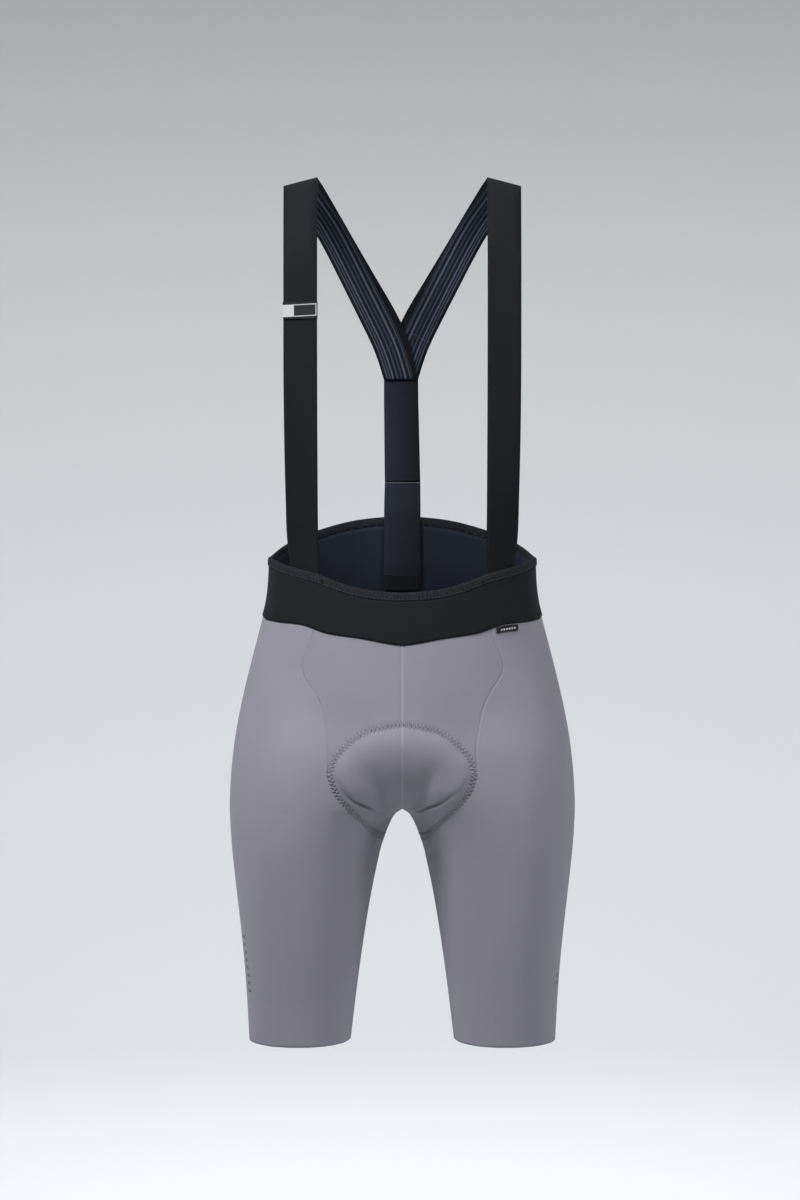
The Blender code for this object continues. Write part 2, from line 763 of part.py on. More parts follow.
def build_back_strap(name, levels, sides):
    """Part of the centre-back strap between its first and last level."""
    curves = [by_height(BACK_STRAP, BACK_STRAP_COLUMNS.index(c)) for c in BACK_STRAP_COLUMNS[1:]]
    edges = []
    for level in levels:
        height = level * MM
        if height < waist_back(0.0) + TUCK_RISE:
            depths = [under_yoke(abs(x), height, True)[1] for x in BACK_STRAP_EDGES_AT_RIM]
            places = BACK_STRAP_EDGES_AT_RIM
        else:
            *places, depth = [curve(height) for curve in curves]
            depths = (depth, depth)
        edges.append([np.array((x, y, height)) for x, y in zip(places, depths)])
    outer = ribbon(edges, STRAP_COLUMNS)
    normals = ribbon_normals(outer)
    if normals[0, 0, 1] < 0:
        normals = -normals
    inner = outer - normals * STRAP_WALL
    return cloth_wall(name, pull_in(outer, sides), pull_in(inner, sides), NAVY)


# ---------------------------------------------------------------- seat pad
def walk_across(start, heading, distance):
    """Go over the figure's surface from a point of the crotch line, square to the line."""
    point = start.copy()
    previous = np.array((1.0, 0.0, 0.0))
    left = distance
    while left > 1e-7:
        step = min(WALK_STEP, left)
        normal, _ = outward(point)
        direction = np.cross(heading, normal)
        if np.dot(direction, previous) < 0:
            direction = -direction
        direction /= np.linalg.norm(direction)
        previous = direction
        point = point + direction * step
        for _ in range(SURFACE_PASSES):
            normal, slope = outward(point)
            point = point - normal * beyond_surface(point) / slope
        left -= step
    return point


def build_seat_pad():
    """Pad inside the crotch, thick in the middle and thin at its sewn edge."""
    first = PAD[0][0] * MM
    last = PAD[-1][0] * MM
    outer = []
    inner = []
    for i in range(PAD_STATIONS + 1):
        along = first + (last - first) * (1 - math.cos(math.pi * i / PAD_STATIONS)) / 2
        centre = np.array([np.interp(along, CROTCH_ALONG, CROTCH_POINTS[:, axis]) for axis in range(3)])
        ahead = np.array([np.interp(along + MM, CROTCH_ALONG, CROTCH_POINTS[:, axis]) for axis in range(3)])
        heading = ahead - centre
        heading /= np.linalg.norm(heading)
        half = pad_half_width(along / MM)
        row_out = []
        row_in = []
        for k in range(PAD_HALF_COLUMNS + 1):
            share = math.sin(math.pi / 2 * k / PAD_HALF_COLUMNS)
            point = walk_across(centre, heading, half * share) if k else centre
            normal, _ = outward(point)
            lifted = point + normal * pad_lift(point)
            face = lifted - normal * (KNIT_WALL + PAD_CLEARANCE)
            swell = math.sqrt(max(1 - share ** PAD_SWELL, 0))
            thick = PAD_RIM + (pad_depth(along / MM) - PAD_RIM) * swell
            row_out.append(face)
            row_in.append(face - normal * thick)
        outer.append(row_out)
        inner.append(row_in)
    outer = across_centre(np.array(outer), True)
    inner = across_centre(np.array(inner), True)
    return cloth_wall("seat_pad", outer, inner, PAD_FOAM)


# ---------------------------------------------------------------- labels
def build_strap_label():
    """Woven label laid on the outer face of the wearer's right brace."""
    curves = [by_height(FRONT_STRAP, FRONT_STRAP_COLUMNS.index(c)) for c in FRONT_STRAP_COLUMNS[1:]]
    heights = (STRAP_LABEL_TOP, (STRAP_LABEL_TOP + STRAP_LABEL_BOTTOM) / 2, STRAP_LABEL_BOTTOM)
    edges = []
    for height in heights:
        near_x, far_x, _, _ = [curve(height) for curve in curves]
        near = np.array((near_x - STRAP_LABEL_OVERHANG, -CHEST_DEPTH - SEAM_GAP, height))
        far = np.array((far_x + STRAP_LABEL_OVERHANG, -CHEST_DEPTH - SEAM_GAP, height))
        edges.append((near, far))
    inner = ribbon(edges, STRAP_COLUMNS)
    outer = inner + np.array((0.0, -LABEL_WALL, 0.0))
    return cloth_wall("strap_label", outer, inner, WOVEN, True)


def build_waist_tab():
    """Folded tab that hangs from the yoke's lower edge on the wearer's left front."""
    outer = []
    inner = []
    for down in (TAB_TOP, (TAB_TOP + TAB_DROP) / 2, TAB_DROP):
        row_out = []
        row_in = []
        for k in range(STRAP_COLUMNS + 1):
            x = TAB_START + (TAB_END - TAB_START) * k / STRAP_COLUMNS
            height = yoke_low_front(x / half_width_at(TAB_LEVEL)) - down
            point = surface_point(turn_at(x, height), height)
            normal, _ = outward(point)
            row_in.append(point + normal * LABEL_LIFT)
            row_out.append(point + normal * (LABEL_LIFT + LABEL_WALL))
        outer.append(row_out)
        inner.append(row_in)
    return cloth_wall("waist_tab", np.array(outer), np.array(inner), WOVEN)


# ---------------------------------------------------------------- assembly
def clear_scene():
    for obj in list(bpy.data.objects):
        bpy.data.objects.remove(obj, do_unlink=True)


def build():
    clear_scene()
    pieces = [
        build_front_panel("front_panel_left", False),
        build_front_panel("front_panel_right", True),
        build_leg_panel("leg_panel_left", False),
        build_leg_panel("leg_panel_right", True),
        build_yoke("yoke_front", 0, SIDE_COLUMN, True),
        build_yoke("yoke_back", SIDE_COLUMN, LAST_COLUMN, False),
        build_binding(),
        build_strap("strap_left", False, 1),
        build_strap("strap_right", True, 0),
        build_back_strap("back_strap_upper", UPPER_STRAP_LEVELS, ("bottom",)),
        build_back_strap("back_strap_lower", LOWER_STRAP_LEVELS, ("top",)),
        build_seat_pad(),
        build_strap_label(),
        build_waist_tab(),
    ]
    garment = bpy.data.collections.new("Cycling bib shorts")
    bpy.context.scene.collection.children.link(garment)
    for piece in pieces:
        garment.objects.link(piece)


build()
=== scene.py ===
"""Looks of the cycling bib shorts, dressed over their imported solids.

The shorts hang from the shoulders: the origin lies midway between the crests of the two braces,
+Z is up, the front faces -Y and the wearer's left is +X.  Tables are in millimetres.
"""
import math

import bmesh
import bpy
import numpy as np
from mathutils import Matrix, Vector
from mathutils.bvhtree import BVHTree
from mathutils.kdtree import KDTree


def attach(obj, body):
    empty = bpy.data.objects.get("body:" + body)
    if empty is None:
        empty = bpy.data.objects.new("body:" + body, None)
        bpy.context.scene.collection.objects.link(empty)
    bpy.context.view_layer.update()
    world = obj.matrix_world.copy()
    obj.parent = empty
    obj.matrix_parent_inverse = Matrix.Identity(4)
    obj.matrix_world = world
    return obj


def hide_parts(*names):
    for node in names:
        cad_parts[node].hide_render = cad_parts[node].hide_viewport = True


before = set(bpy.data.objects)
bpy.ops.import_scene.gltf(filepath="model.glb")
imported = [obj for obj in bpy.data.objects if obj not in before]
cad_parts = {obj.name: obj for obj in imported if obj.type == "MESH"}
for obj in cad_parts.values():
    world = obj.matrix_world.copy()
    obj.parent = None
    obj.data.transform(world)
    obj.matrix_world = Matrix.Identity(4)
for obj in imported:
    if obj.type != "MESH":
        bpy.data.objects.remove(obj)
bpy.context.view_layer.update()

MM = 0.001


# ---------------------------------------------------------------- camera
# A long lens level with the middle of the garment, three metres in front of it.
camera_data = bpy.data.cameras.new("camera")
camera_data.sensor_width = 36
camera_data.lens = 85.714
camera = bpy.data.objects.new("camera", camera_data)
camera.location = (-0.0024, -3.0, -0.4389)
camera.rotation_euler = (math.radians(90), 0, 0)
bpy.context.scene.collection.objects.link(camera)
bpy.context.scene.camera = camera
bpy.context.scene.view_settings.view_transform = "Standard"


# ---------------------------------------------------------------- studio
# A seamless pale bowl round the garment, with painted shade running from near white below to greyer
# above, lit brightest behind the garment.  The shade class is how every material below is written.
class Shade:
    """One socket of a material's nodes, so that shader maths reads as an expression."""

    def __init__(self, tree, socket):
        self.tree = tree
        self.socket = socket

    def node(self, kind, settings=None, inputs=None, output=0):
        """Adds a node: its settings come first, then the values or links of its sockets."""
        made = self.tree.nodes.new(kind)
        for name, value in (settings or {}).items():
            if name == "stops":
                stops = made.color_ramp.elements
                while len(stops) < len(value):
                    stops.new(0.5)
                for stop, (place, colour) in zip(stops, value):
                    stop.position = place
                    stop.color = colour
            else:
                setattr(made, name, value)
        for key, value in (inputs or {}).items():
            if isinstance(value, Shade):
                self.tree.links.new(value.socket, made.inputs[key])
            else:
                made.inputs[key].default_value = value
        return Shade(self.tree, made.outputs[output])

    def maths(self, operation, *values):
        return self.node("ShaderNodeMath", {"operation": operation}, dict(enumerate(values)))

    def sine(self):
        return self.maths("SINE", self)

    def size(self):
        return self.maths("ABSOLUTE", self)

    def most(self, other):
        return self.maths("MAXIMUM", self, other)

    def __add__(self, other):
        return self.maths("ADD", self, other)

    def __sub__(self, other):
        return self.maths("SUBTRACT", self, other)

    def __rsub__(self, other):
        return self.maths("SUBTRACT", other, self)

    def __mul__(self, other):
        return self.maths("MULTIPLY", self, other)

    def __truediv__(self, other):
        return self.maths("DIVIDE", self, other)

    __radd__ = __add__
    __rmul__ = __mul__

    def between(self, low, high):
        """1 where the value lies between two limits, 0 elsewhere."""
        return self.maths("GREATER_THAN", self, low) * self.maths("LESS_THAN", self, high)

    def blend(self, first, second):
        """The first colour where this value is 0, the second where it is 1."""
        settings = {"data_type": "RGBA"}
        return self.node("ShaderNodeMix", settings, {0: self, 6: first, 7: second}, output=2)

    def axis(self, letter):
        """One coordinate of a place."""
        return self.node("ShaderNodeSeparateXYZ", None, {0: self}, output="XYZ".index(letter))

    def noise(self, size, detail=2, stretch=(1, 1, 1)):
        """Noise with lumps of about the given size, drawn out along the axes."""
        spread = [share / size for share in stretch]
        place = self.node("ShaderNodeVectorMath", {"operation": "MULTIPLY"}, {0: self, 1: spread})
        return self.node("ShaderNodeTexNoise", None,
                         {"Vector": place, "Scale": 1.0, "Detail": detail})


def paint(red, green, blue):
    """The linear colour of an 8-bit one."""
    shares = [value / 255 for value in (red, green, blue)]
    return (*[v / 12.92 if v < 0.04 else ((v + 0.055) / 1.055) ** 2.4 for v in shares], 1)


def new_material(name):
    """A new material: itself, its shader, and the place on the surface as a Shade."""
    made = bpy.data.materials.new(name)
    made.use_nodes = True
    tree = made.node_tree
    place = tree.nodes.new("ShaderNodeTexCoord").outputs["Object"]
    return made, tree.nodes["Principled BSDF"], Shade(tree, place)


def connect(shader, colour=None, height=None, depth=0.0, roughness=None):
    """Links what changes over a surface to its shader; depth is the bump's real depth."""
    tree = shader.id_data
    if colour is not None:
        tree.links.new(colour.socket, shader.inputs["Base Color"])
    if roughness is not None:
        tree.links.new(roughness.socket, shader.inputs["Roughness"])
    if height is not None:
        bump = height.node("ShaderNodeBump", None, {"Height": height, "Distance": depth})
        tree.links.new(bump.socket, shader.inputs["Normal"])


def new_piece(name, mesh_code, smooth=True):
    """Puts a bmesh into the scene as an object at the origin."""
    mesh = bpy.data.meshes.new(name)
    mesh_code.to_mesh(mesh)
    mesh_code.free()
    for face in mesh.polygons:
        face.use_smooth = smooth
    piece = bpy.data.objects.new(name, mesh)
    bpy.context.scene.collection.objects.link(piece)
    return piece


FLOOR_HEIGHT = -1.7
BOWL_FLAT = 5.0
BOWL_ROUND = 2.5
BOWL_TOP = 5.0
BOWL_STEPS = 12
outline = [(0.0, FLOOR_HEIGHT), (BOWL_FLAT, FLOOR_HEIGHT)]
for step in range(1, BOWL_STEPS + 1):
    turn = math.radians(90) * step / BOWL_STEPS
    outline.append((BOWL_FLAT + BOWL_ROUND * math.sin(turn),
                    FLOOR_HEIGHT + BOWL_ROUND * (1 - math.cos(turn))))
outline.append((BOWL_FLAT + BOWL_ROUND, BOWL_TOP))
bowl = bmesh.new()
rim = [bowl.verts.new((radius, 0, height)) for radius, height in outline]
edges = [bowl.edges.new(pair) for pair in zip(rim, rim[1:])]
bmesh.ops.spin(bowl, geom=rim + edges, axis=(0, 0, 1), cent=(0, 0, 0), steps=72,
               angle=math.radians(360), use_merge=True)
bmesh.ops.remove_doubles(bowl, verts=bowl.verts, dist=0.001)
bmesh.ops.recalc_face_normals(bowl, faces=bowl.faces)
backdrop = new_piece("backdrop", bowl)
ground, ground_shader, place = new_material("backdrop_paper_painted_shade")
# The paper's pale colour with painted shade, near white at the floor and greyer up to this height
# above it.
PAPER_RISE = 3.6
PAPER_AND_PAINTED_SHADE = (
    (0.0, paint(244, 246, 250)),
    (0.36, paint(228, 230, 233)),
    (0.62, paint(212, 214, 215)),
    (1.0, paint(176, 178, 177)),
)
height = (place.axis("Z") - FLOOR_HEIGHT) / PAPER_RISE
colour = height.node("ShaderNodeValToRGB", {"stops": PAPER_AND_PAINTED_SHADE}, {0: height})
connect(ground_shader, colour=colour)
ground_shader.inputs["Roughness"].default_value = 0.9
ground_shader.inputs["Specular IOR Level"].default_value = 0.1
backdrop.data.materials.append(ground)

# name, place, aimed at, width, height, watts
SOFTBOXES = (
    ("key", (-0.95, -0.95, 0.7), (0, 0, -0.5), 0.6, 0.6, 27),
    ("fill", (1.45, -1.1, 0.75), (0, 0, -0.5), 0.8, 0.8, 20),
    ("backdrop_light", (0.0, 1.6, 2.4), (0, 7.0, -0.6), 4.0, 1.5, 226),
    ("ceiling", (0, 0.2, 3.4), (0, 0, 0), 5.0, 5.0, 24),
)
for name, spot, aim, width, length, watts in SOFTBOXES:
    box_light = bpy.data.lights.new(name, "AREA")
    box_light.shape = "RECTANGLE"
    box_light.size = width
    box_light.size_y = length
    box_light.energy = watts
    softbox = bpy.data.objects.new(name, box_light)
    softbox.location = spot
    softbox.rotation_euler = (Vector(aim) - Vector(spot)).to_track_quat("-Z", "Y").to_euler()
    softbox.visible_camera = False
    bpy.context.scene.collection.objects.link(softbox)
sky = bpy.data.worlds.new("sky")
sky.use_nodes = True
sky.node_tree.nodes["Background"].inputs["Color"].default_value = (0.9, 0.93, 1.0, 1)
sky.node_tree.nodes["Background"].inputs["Strength"].default_value = 0.08
bpy.context.scene.world = sky


# ---------------------------------------------------------------- knit panels
# Two front panels and two wrap-round leg panels of one grey warp knit with elastane, cut flat,
# joined edge to edge by flat seams and raw-cut at the hem.  They are tight, so what shows is the
# seat pad pressing from inside and a few short creases at the crotch, under the seat and behind.
KNIT_WALL = 1.5 * MM
LEG_MIDDLE = 90 * MM
WAIST_TOP = -0.35
CHEST_TOP = -0.13
# Faces that meet at less than this angle belong to one face of the cloth.
FACE_BEND = math.radians(50)
# An open edge that turns by more than this has a corner.
EDGE_BEND = math.radians(20)
WELD = 0.002 * MM
# A face this near a middle plane is a rim, at the inseam only where it is this far down.
SEAM_PLANE = 0.4 * MM
INSEAM_DEPTH = 0.65


def inside_of(place):
    """A point inside the garment level with a place: the leg's middle, or the chest's."""
    if place.z < WAIST_TOP:
        return Vector((math.copysign(LEG_MIDDLE, place.x), 0, place.z))
    return Vector((place.x, 0, min(place.z, CHEST_TOP)))


def outwardness(faces):
    """How much area of some faces looks away from the wearer."""
    total = 0
    for face in faces:
        middle = face.calc_center_median()
        total += face.calc_area() * face.normal.dot((middle - inside_of(middle)).normalized())
    return total


def welded(node):
    """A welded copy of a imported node's mesh."""
    copy = bmesh.new()
    copy.from_mesh(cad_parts[node].data)
    bmesh.ops.remove_doubles(copy, verts=copy.verts, dist=WELD)
    return copy


def square_up(mesh_code):
    """Joins loose triangles to the four-sided faces that they were cut from."""
    bmesh.ops.join_triangles(mesh_code, faces=mesh_code.faces,
                             angle_face_threshold=math.radians(60),
                             angle_shape_threshold=math.radians(80))


def in_seam_plane(face):
    """True for a rim at the centre seams or the inseam, where cloth meets edge to edge."""
    away = np.abs([vertex.co[:] for vertex in face.verts]).max(axis=0)
    return away[0] < SEAM_PLANE or (away[1] < SEAM_PLANE and away[2] > INSEAM_DEPTH)


def edge_turn(vertex):
    """How sharply a sheet's open edge turns at a vertex."""
    ways = [edge.other_vert(vertex).co - vertex.co
            for edge in vertex.link_edges if edge.is_boundary]
    return math.pi - ways[0].angle(ways[1]) if len(ways) == 2 else 0.0


def outer_face(node, name):
    """The face of a node's wall that looks away from the wearer, as a piece without rims.

    Where its open edge turns sharply, a crease keeps it so when the face is refined."""
    wall = welded(node)
    left = {face for face in wall.faces if not in_seam_plane(face)}
    patches = []
    while left:
        patch = [left.pop()]
        for face in patch:
            for edge in face.edges:
                if edge.is_manifold and edge.calc_face_angle() < FACE_BEND:
                    joined = [other for other in edge.link_faces if other in left]
                    left.difference_update(joined)
                    patch.extend(joined)
        patches.append(patch)
    wanted = set(max(patches, key=outwardness))
    spare = [face for face in wall.faces if face not in wanted]
    bmesh.ops.delete(wall, geom=spare, context="FACES")
    square_up(wall)
    crease = wall.verts.layers.float.new("crease_vert")
    for vertex in wall.verts:
        vertex[crease] = float(edge_turn(vertex) > EDGE_BEND)
    return new_piece(name, wall)


def apply_modifiers(piece):
    """Makes a piece's modifiers part of its mesh."""
    evaluated = piece.evaluated_get(bpy.context.evaluated_depsgraph_get())
    made = bpy.data.meshes.new_from_object(evaluated)
    piece.modifiers.clear()
    spare = piece.data
    piece.data = made
    bpy.data.meshes.remove(spare)


def refine(piece, levels, kind="CATMULL_CLARK"):
    """Subdivides a piece to a smooth surface with its corners kept."""
    smooth = piece.modifiers.new("smooth", "SUBSURF")
    smooth.subdivision_type = kind
    smooth.levels = levels
    smooth.render_levels = levels
    smooth.boundary_smooth = "PRESERVE_CORNERS"
    apply_modifiers(piece)


def thicken(piece, wall):
    """Gives a sheet its thickness inwards, with the second material on the inner face."""
    solidify = piece.modifiers.new("wall", "SOLIDIFY")
    solidify.thickness = wall
    solidify.offset = -1
    solidify.material_offset = len(piece.data.materials) - 1
    apply_modifiers(piece)


def points_of(piece, what="co"):
    """A piece's vertices, or their normals, as an array."""
    values = np.empty(len(piece.data.vertices) * 3)
    piece.data.vertices.foreach_get(what, values)
    return values.reshape(-1, 3)


def move_points(piece, rises):
    """Raises a piece's vertices along their normals."""
    moved = points_of(piece) + points_of(piece, "normal") * rises[:, None]
    piece.data.vertices.foreach_set("co", moved.ravel())
    piece.data.update()


def surface_of(pieces):
    """One search tree over the faces of several pieces."""
    corners = []
    faces = []
    for piece in pieces:
        first = len(corners)
        corners.extend(vertex.co.copy() for vertex in piece.data.vertices)
        faces.extend([first + corner for corner in face.vertices] for face in piece.data.polygons)
    return BVHTree.FromPolygons(corners, faces)


def distance_along(points, path):
    """Each point's distance from a path, and its share of the way along it."""
    nearest = np.full(len(points), np.inf)
    share = np.zeros(len(points))
    steps = np.linalg.norm(np.diff(path, axis=0), axis=1)
    reached = 0.0
    for start, end, step in zip(path, path[1:], steps):
        part = np.clip((points - start) @ (end - start) / max(step, 1e-9) ** 2, 0, 1)
        gap = np.linalg.norm(points - start - part[:, None] * (end - start), axis=1)
        closer = gap < nearest
        nearest[closer] = gap[closer]
        share[closer] = (reached + part[closer] * step) / steps.sum()
        reached += step
    return nearest, share


def smooth_path(places, count):
    """A curve through places, as evenly spaced points."""
    places = np.asarray(places, float)
    ends = np.vstack([2 * places[0] - places[1], places, 2 * places[-1] - places[-2]])
    curve = []
    for before, start, end, after in zip(ends, ends[1:], ends[2:], ends[3:]):
        for t in np.linspace(0, 1, 12, endpoint=False):
            curve.append(0.5 * (2 * start + (end - before) * t
                                + (2 * before - 5 * start + 4 * end - after) * t ** 2
                                + (3 * start - before - 3 * end + after) * t ** 3))
    curve.append(places[-1])
    return even_points(np.array(curve), count)


def even_points(path, count):
    """The same path through evenly spaced points."""
    lengths = np.concatenate([[0], np.cumsum(np.linalg.norm(np.diff(path, axis=0), axis=1))])
    wanted = np.linspace(0, lengths[-1], count)
    return np.stack([np.interp(wanted, lengths, path[:, axis]) for axis in range(3)], axis=1)


def length_of(path):
    """A path's whole length."""
    return np.linalg.norm(np.diff(path, axis=0), axis=1).sum()


def boundary_ring(piece):
    """The open edge of a sheet as one ordered ring of points."""
    mesh_code = bmesh.new()
    mesh_code.from_mesh(piece.data)
    edge = next(edge for edge in mesh_code.edges if edge.is_boundary)
    ring = [edge.verts[0]]
    while edge:
        ring.append(edge.other_vert(ring[-1]))
        followers = [other for other in ring[-1].link_edges if other.is_boundary and other != edge]
        edge = followers[0] if ring[-1] != ring[0] else None
    found = np.array([vertex.co[:] for vertex in ring[:-1]])
    mesh_code.free()
    return found


def longest_run(ring, wanted):
    """The longest stretch of a ring whose points are wanted."""
    first = int(np.argmin(wanted))
    order = np.roll(np.arange(len(ring)), -first)
    best, run = [], []
    for index in order:
        run = run + [index] if wanted[index] else []
        if len(run) > len(best):
            best = run
    return ring[best]


SEAM_REACH = 2.0 * MM


def shared_seam(ring, other):
    """The line midway between two pieces along the seam that joins them."""
    tree = KDTree(len(other))
    for index, point in enumerate(other):
        tree.insert(point, index)
    tree.balance()
    gaps = np.array([tree.find(point)[2] for point in ring])
    run = longest_run(ring, gaps < SEAM_REACH)
    partners = np.array([tree.find(point)[0][:] for point in run])
    return (run + partners) / 2


PANELS = ("front_panel_right", "front_panel_left", "leg_panel_right", "leg_panel_left")
panels = {name: outer_face(name, name + "_cloth") for name in PANELS}
for panel in panels.values():
    refine(panel, 3)
LEVEL_BAND = (-735 * MM, -675 * MM)
LEVEL_STEP = 12 * MM
# Only the thigh's front, back and outside are evened, from here outwards.
LEVEL_INNER = 35 * MM
LEVEL_EASE = 20 * MM


def level_out(piece, tree):
    """Evens out the thigh below the front panel's tip, where the cut's columns step sideways.

    Reaches from the leg's middle run smoothly through the band from the cloth on both sides."""
    low, high = LEVEL_BAND
    span = high - low
    points = points_of(piece)
    for index, (x, y, z) in enumerate(points):
        if not low < z < high:
            continue
        middle = math.copysign(LEG_MIDDLE, x)
        way = Vector((x - middle, y, 0)).normalized()
        reaches = []
        for level in (low - LEVEL_STEP, low, high, high + LEVEL_STEP):
            start = Vector((middle, 0, level))
            hit = tree.ray_cast(start, way)[0]
            if hit:
                reaches.append((hit - start).length)
        if len(reaches) < 4:
            continue
        below, bottom, top, above = reaches
        t = (z - low) / span
        reach = bottom + (top - bottom) * t * t * (3 - 2 * t)
        reach += t * (1 - t) ** 2 * span * (bottom - below) / LEVEL_STEP
        reach += t * t * (t - 1) * span * (above - top) / LEVEL_STEP
        outer = min(max((abs(x) - LEVEL_INNER) / LEVEL_EASE, 0), 1)
        here = math.hypot(x - middle, y)
        points[index] += np.array(way) * (reach - here) * outer
    piece.data.vertices.foreach_set("co", points.ravel())
    piece.data.update()


plain_knit = surface_of(panels.values())
for panel in panels.values():
    level_out(panel, plain_knit)
plain_knit = surface_of(panels.values())

# Where the seat pad's edge presses on the knit, as a closed path that starts behind.
PAD_RING_POINTS = 400
pad_face = outer_face("seat_pad", "pad_edge_guide")
pad_ring = boundary_ring(pad_face)
pad_tree = surface_of([pad_face])
bpy.data.objects.remove(pad_face)
pad_ring = np.roll(pad_ring, -int(np.argmax(pad_ring[:, 1])), axis=0)
pad_ring = np.vstack([pad_ring, pad_ring[:1]])
pad_ring = np.array([plain_knit.find_nearest(point)[0][:]
                     for point in even_points(pad_ring, PAD_RING_POINTS)])

# The way, along Y, in which one looks at the cloth from each side.
LOOKING = {"front": 1, "back": -1}


def on_cloth(tree, side, across, height):
    """The point of the cloth seen from the front or back at a place given in millimetres."""
    start = Vector((across * MM, -LOOKING[side], height * MM))
    direction = Vector((0, LOOKING[side], 0))
    hit = tree.ray_cast(start, direction)[0] or tree.find_nearest(start + direction)[0]
    return np.array(hit[:])


# side, half width, rise, then (across, height) from end to end; a trough has a negative rise
FOLDS = (
    ("front", 1.8, -4.2, ((-64, -629), (-50, -642), (-38, -648.5), (-18, -657))),
    ("front", 1.8, -4.0, ((56, -631), (39, -644.5), (28, -650), (13, -656))),
    ("front", 2.0, -0.9, ((-66, -614), (-63, -625), (-54, -637), (-46, -644))),
    ("front", 2.0, -0.8, ((66, -616), (62, -628), (54, -636), (47, -641))),
    ("front", 9.0, -3.2, ((-36, -604), (-24, -634), (-14, -656))),
    ("front", 8.5, -3.4, ((36, -598), (23, -632), (13, -655))),
    ("front", 3.2, 1.6, ((0, -616), (0, -632), (0, -652))),
    ("front", 9.0, -1.2, ((-30, -668), (-36, -700), (-44, -745))),
    ("front", 9.0, -1.4, ((31, -666), (38, -702), (45, -750))),
    ("front", 14.0, 1.2, ((-120, -560), (-128, -610), (-126, -660))),
    ("front", 13.0, 1.0, ((124, -575), (131, -622), (128, -680))),
    ("back", 4.0, -2.2, ((14, -618), (32, -634), (58, -643), (86, -640))),
    ("back", 4.2, -2.4, ((-12, -622), (-34, -637), (-62, -644), (-92, -638))),
    ("back", 3.0, -1.3, ((22, -644), (44, -654), (72, -656))),
    ("back", 3.2, -1.2, ((-26, -648), (-50, -657), (-70, -656))),
    ("back", 10.0, -1.6, ((10, -560), (12, -600), (14, -632))),
    ("back", 10.0, -1.6, ((-10, -556), (-13, -602), (-14, -634))),
    ("back", 12.0, 1.0, ((96, -510), (120, -560), (126, -620))),
    ("back", 12.0, 1.1, ((-92, -505), (-118, -552), (-128, -610))),
)
FOLD_POINTS = 24
FOLD_FADE = 1.1
# The groove in which the pad's edge is sewn, and the dome that the pad presses up within it.
BAND_HALF = 3.4 * MM
BAND_GROOVE = 0.8 * MM
PAD_DOME = 2.6 * MM
PAD_SHOULDER = 9 * MM
PAD_NEAR = 7 * MM
PAD_NEAR_EASE = 2 * MM
# The dome fades to nothing over this rise above the crotch's lowest line.
CROTCH_HEIGHT = -657 * MM
DOME_RISE = 25 * MM
# Seams pull the cloth in, the side seams only a little.
SEAM_DIP = 0.5 * MM
SEAM_DIP_HALF = 2.2 * MM
SIDE_SEAM_SHARE = 0.25
SEAM_POINTS = 60
folds = []
for side, half_width, rise, places in FOLDS:
    marks = [on_cloth(plain_knit, side, across, height) for across, height in places]
    folds.append((smooth_path(marks, FOLD_POINTS), half_width * MM, rise * MM))
rings = {name: boundary_ring(panel) for name, panel in panels.items()}
centre_front = shared_seam(rings["front_panel_right"], rings["front_panel_left"])
centre_front[:, 0] = 0
side_seams = {side: shared_seam(rings["front_panel_" + side], rings["leg_panel_" + side])
              for side in ("right", "left")}
leg_rim = rings["leg_panel_left"]
centre_back = longest_run(leg_rim, (leg_rim[:, 1] > SEAM_REACH) & (leg_rim[:, 0] < SEAM_REACH))
dips = [(seam, SEAM_DIP) for seam in (centre_front, centre_back)]
dips += [(seam, SEAM_DIP * SIDE_SEAM_SHARE) for seam in side_seams.values()]


def folded(points):
    """How far the folds, the pad's edge and the seams raise or sink points of the cloth."""
    rises = np.zeros(len(points))
    for path, half_width, rise in folds:
        gap, share = distance_along(points, path)
        fade = np.maximum(np.sin(math.pi * share), 0) ** FOLD_FADE
        rises += rise * fade * np.exp(-(gap / half_width) ** 2)
    gap, _ = distance_along(points, pad_ring)
    rises -= BAND_GROOVE * np.exp(-(gap / BAND_HALF) ** 4)
    depths = np.array([pad_tree.find_nearest(point)[3] for point in points])
    over_pad = np.clip((PAD_NEAR - depths) / PAD_NEAR_EASE, 0, 1)
    over_pad *= np.clip((points[:, 2] - CROTCH_HEIGHT) / DOME_RISE, 0, 1)
    rises += PAD_DOME * over_pad * (1 - np.exp(-(gap / PAD_SHOULDER) ** 2))
    for seam, depth in dips:
        gap, _ = distance_along(points, even_points(seam, SEAM_POINTS))
        rises -= depth * np.exp(-(gap / SEAM_DIP_HALF) ** 2)
    return rises


for panel in panels.values():
    move_points(panel, folded(points_of(panel)))
shaped_knit = surface_of(panels.values())
rings = {name: boundary_ring(panel) for name, panel in panels.items()}
MAP_RADIUS = 90 * MM
WALE = 0.55 * MM
COURSE = 0.42 * MM


def map_round(piece, middle):
    """A UV map in metres: round the leg or body, and up it."""
    layer = piece.data.uv_layers.new(name="cloth")
    points = points_of(piece)
    for face in piece.data.polygons:
        turn_of_face = math.atan2(face.center.y, face.center.x - middle)
        for loop in face.loop_indices:
            x, y, z = points[piece.data.loops[loop].vertex_index]
            turn = math.atan2(y, x - middle)
            turn += math.tau * round((turn_of_face - turn) / math.tau)
            layer.data[loop].uv = (turn * MAP_RADIUS, z)


def toned(colour, share):
    """A colour made darker, or lighter as far as white."""
    return (*[min(1, share * value) for value in colour[:3]], 1)


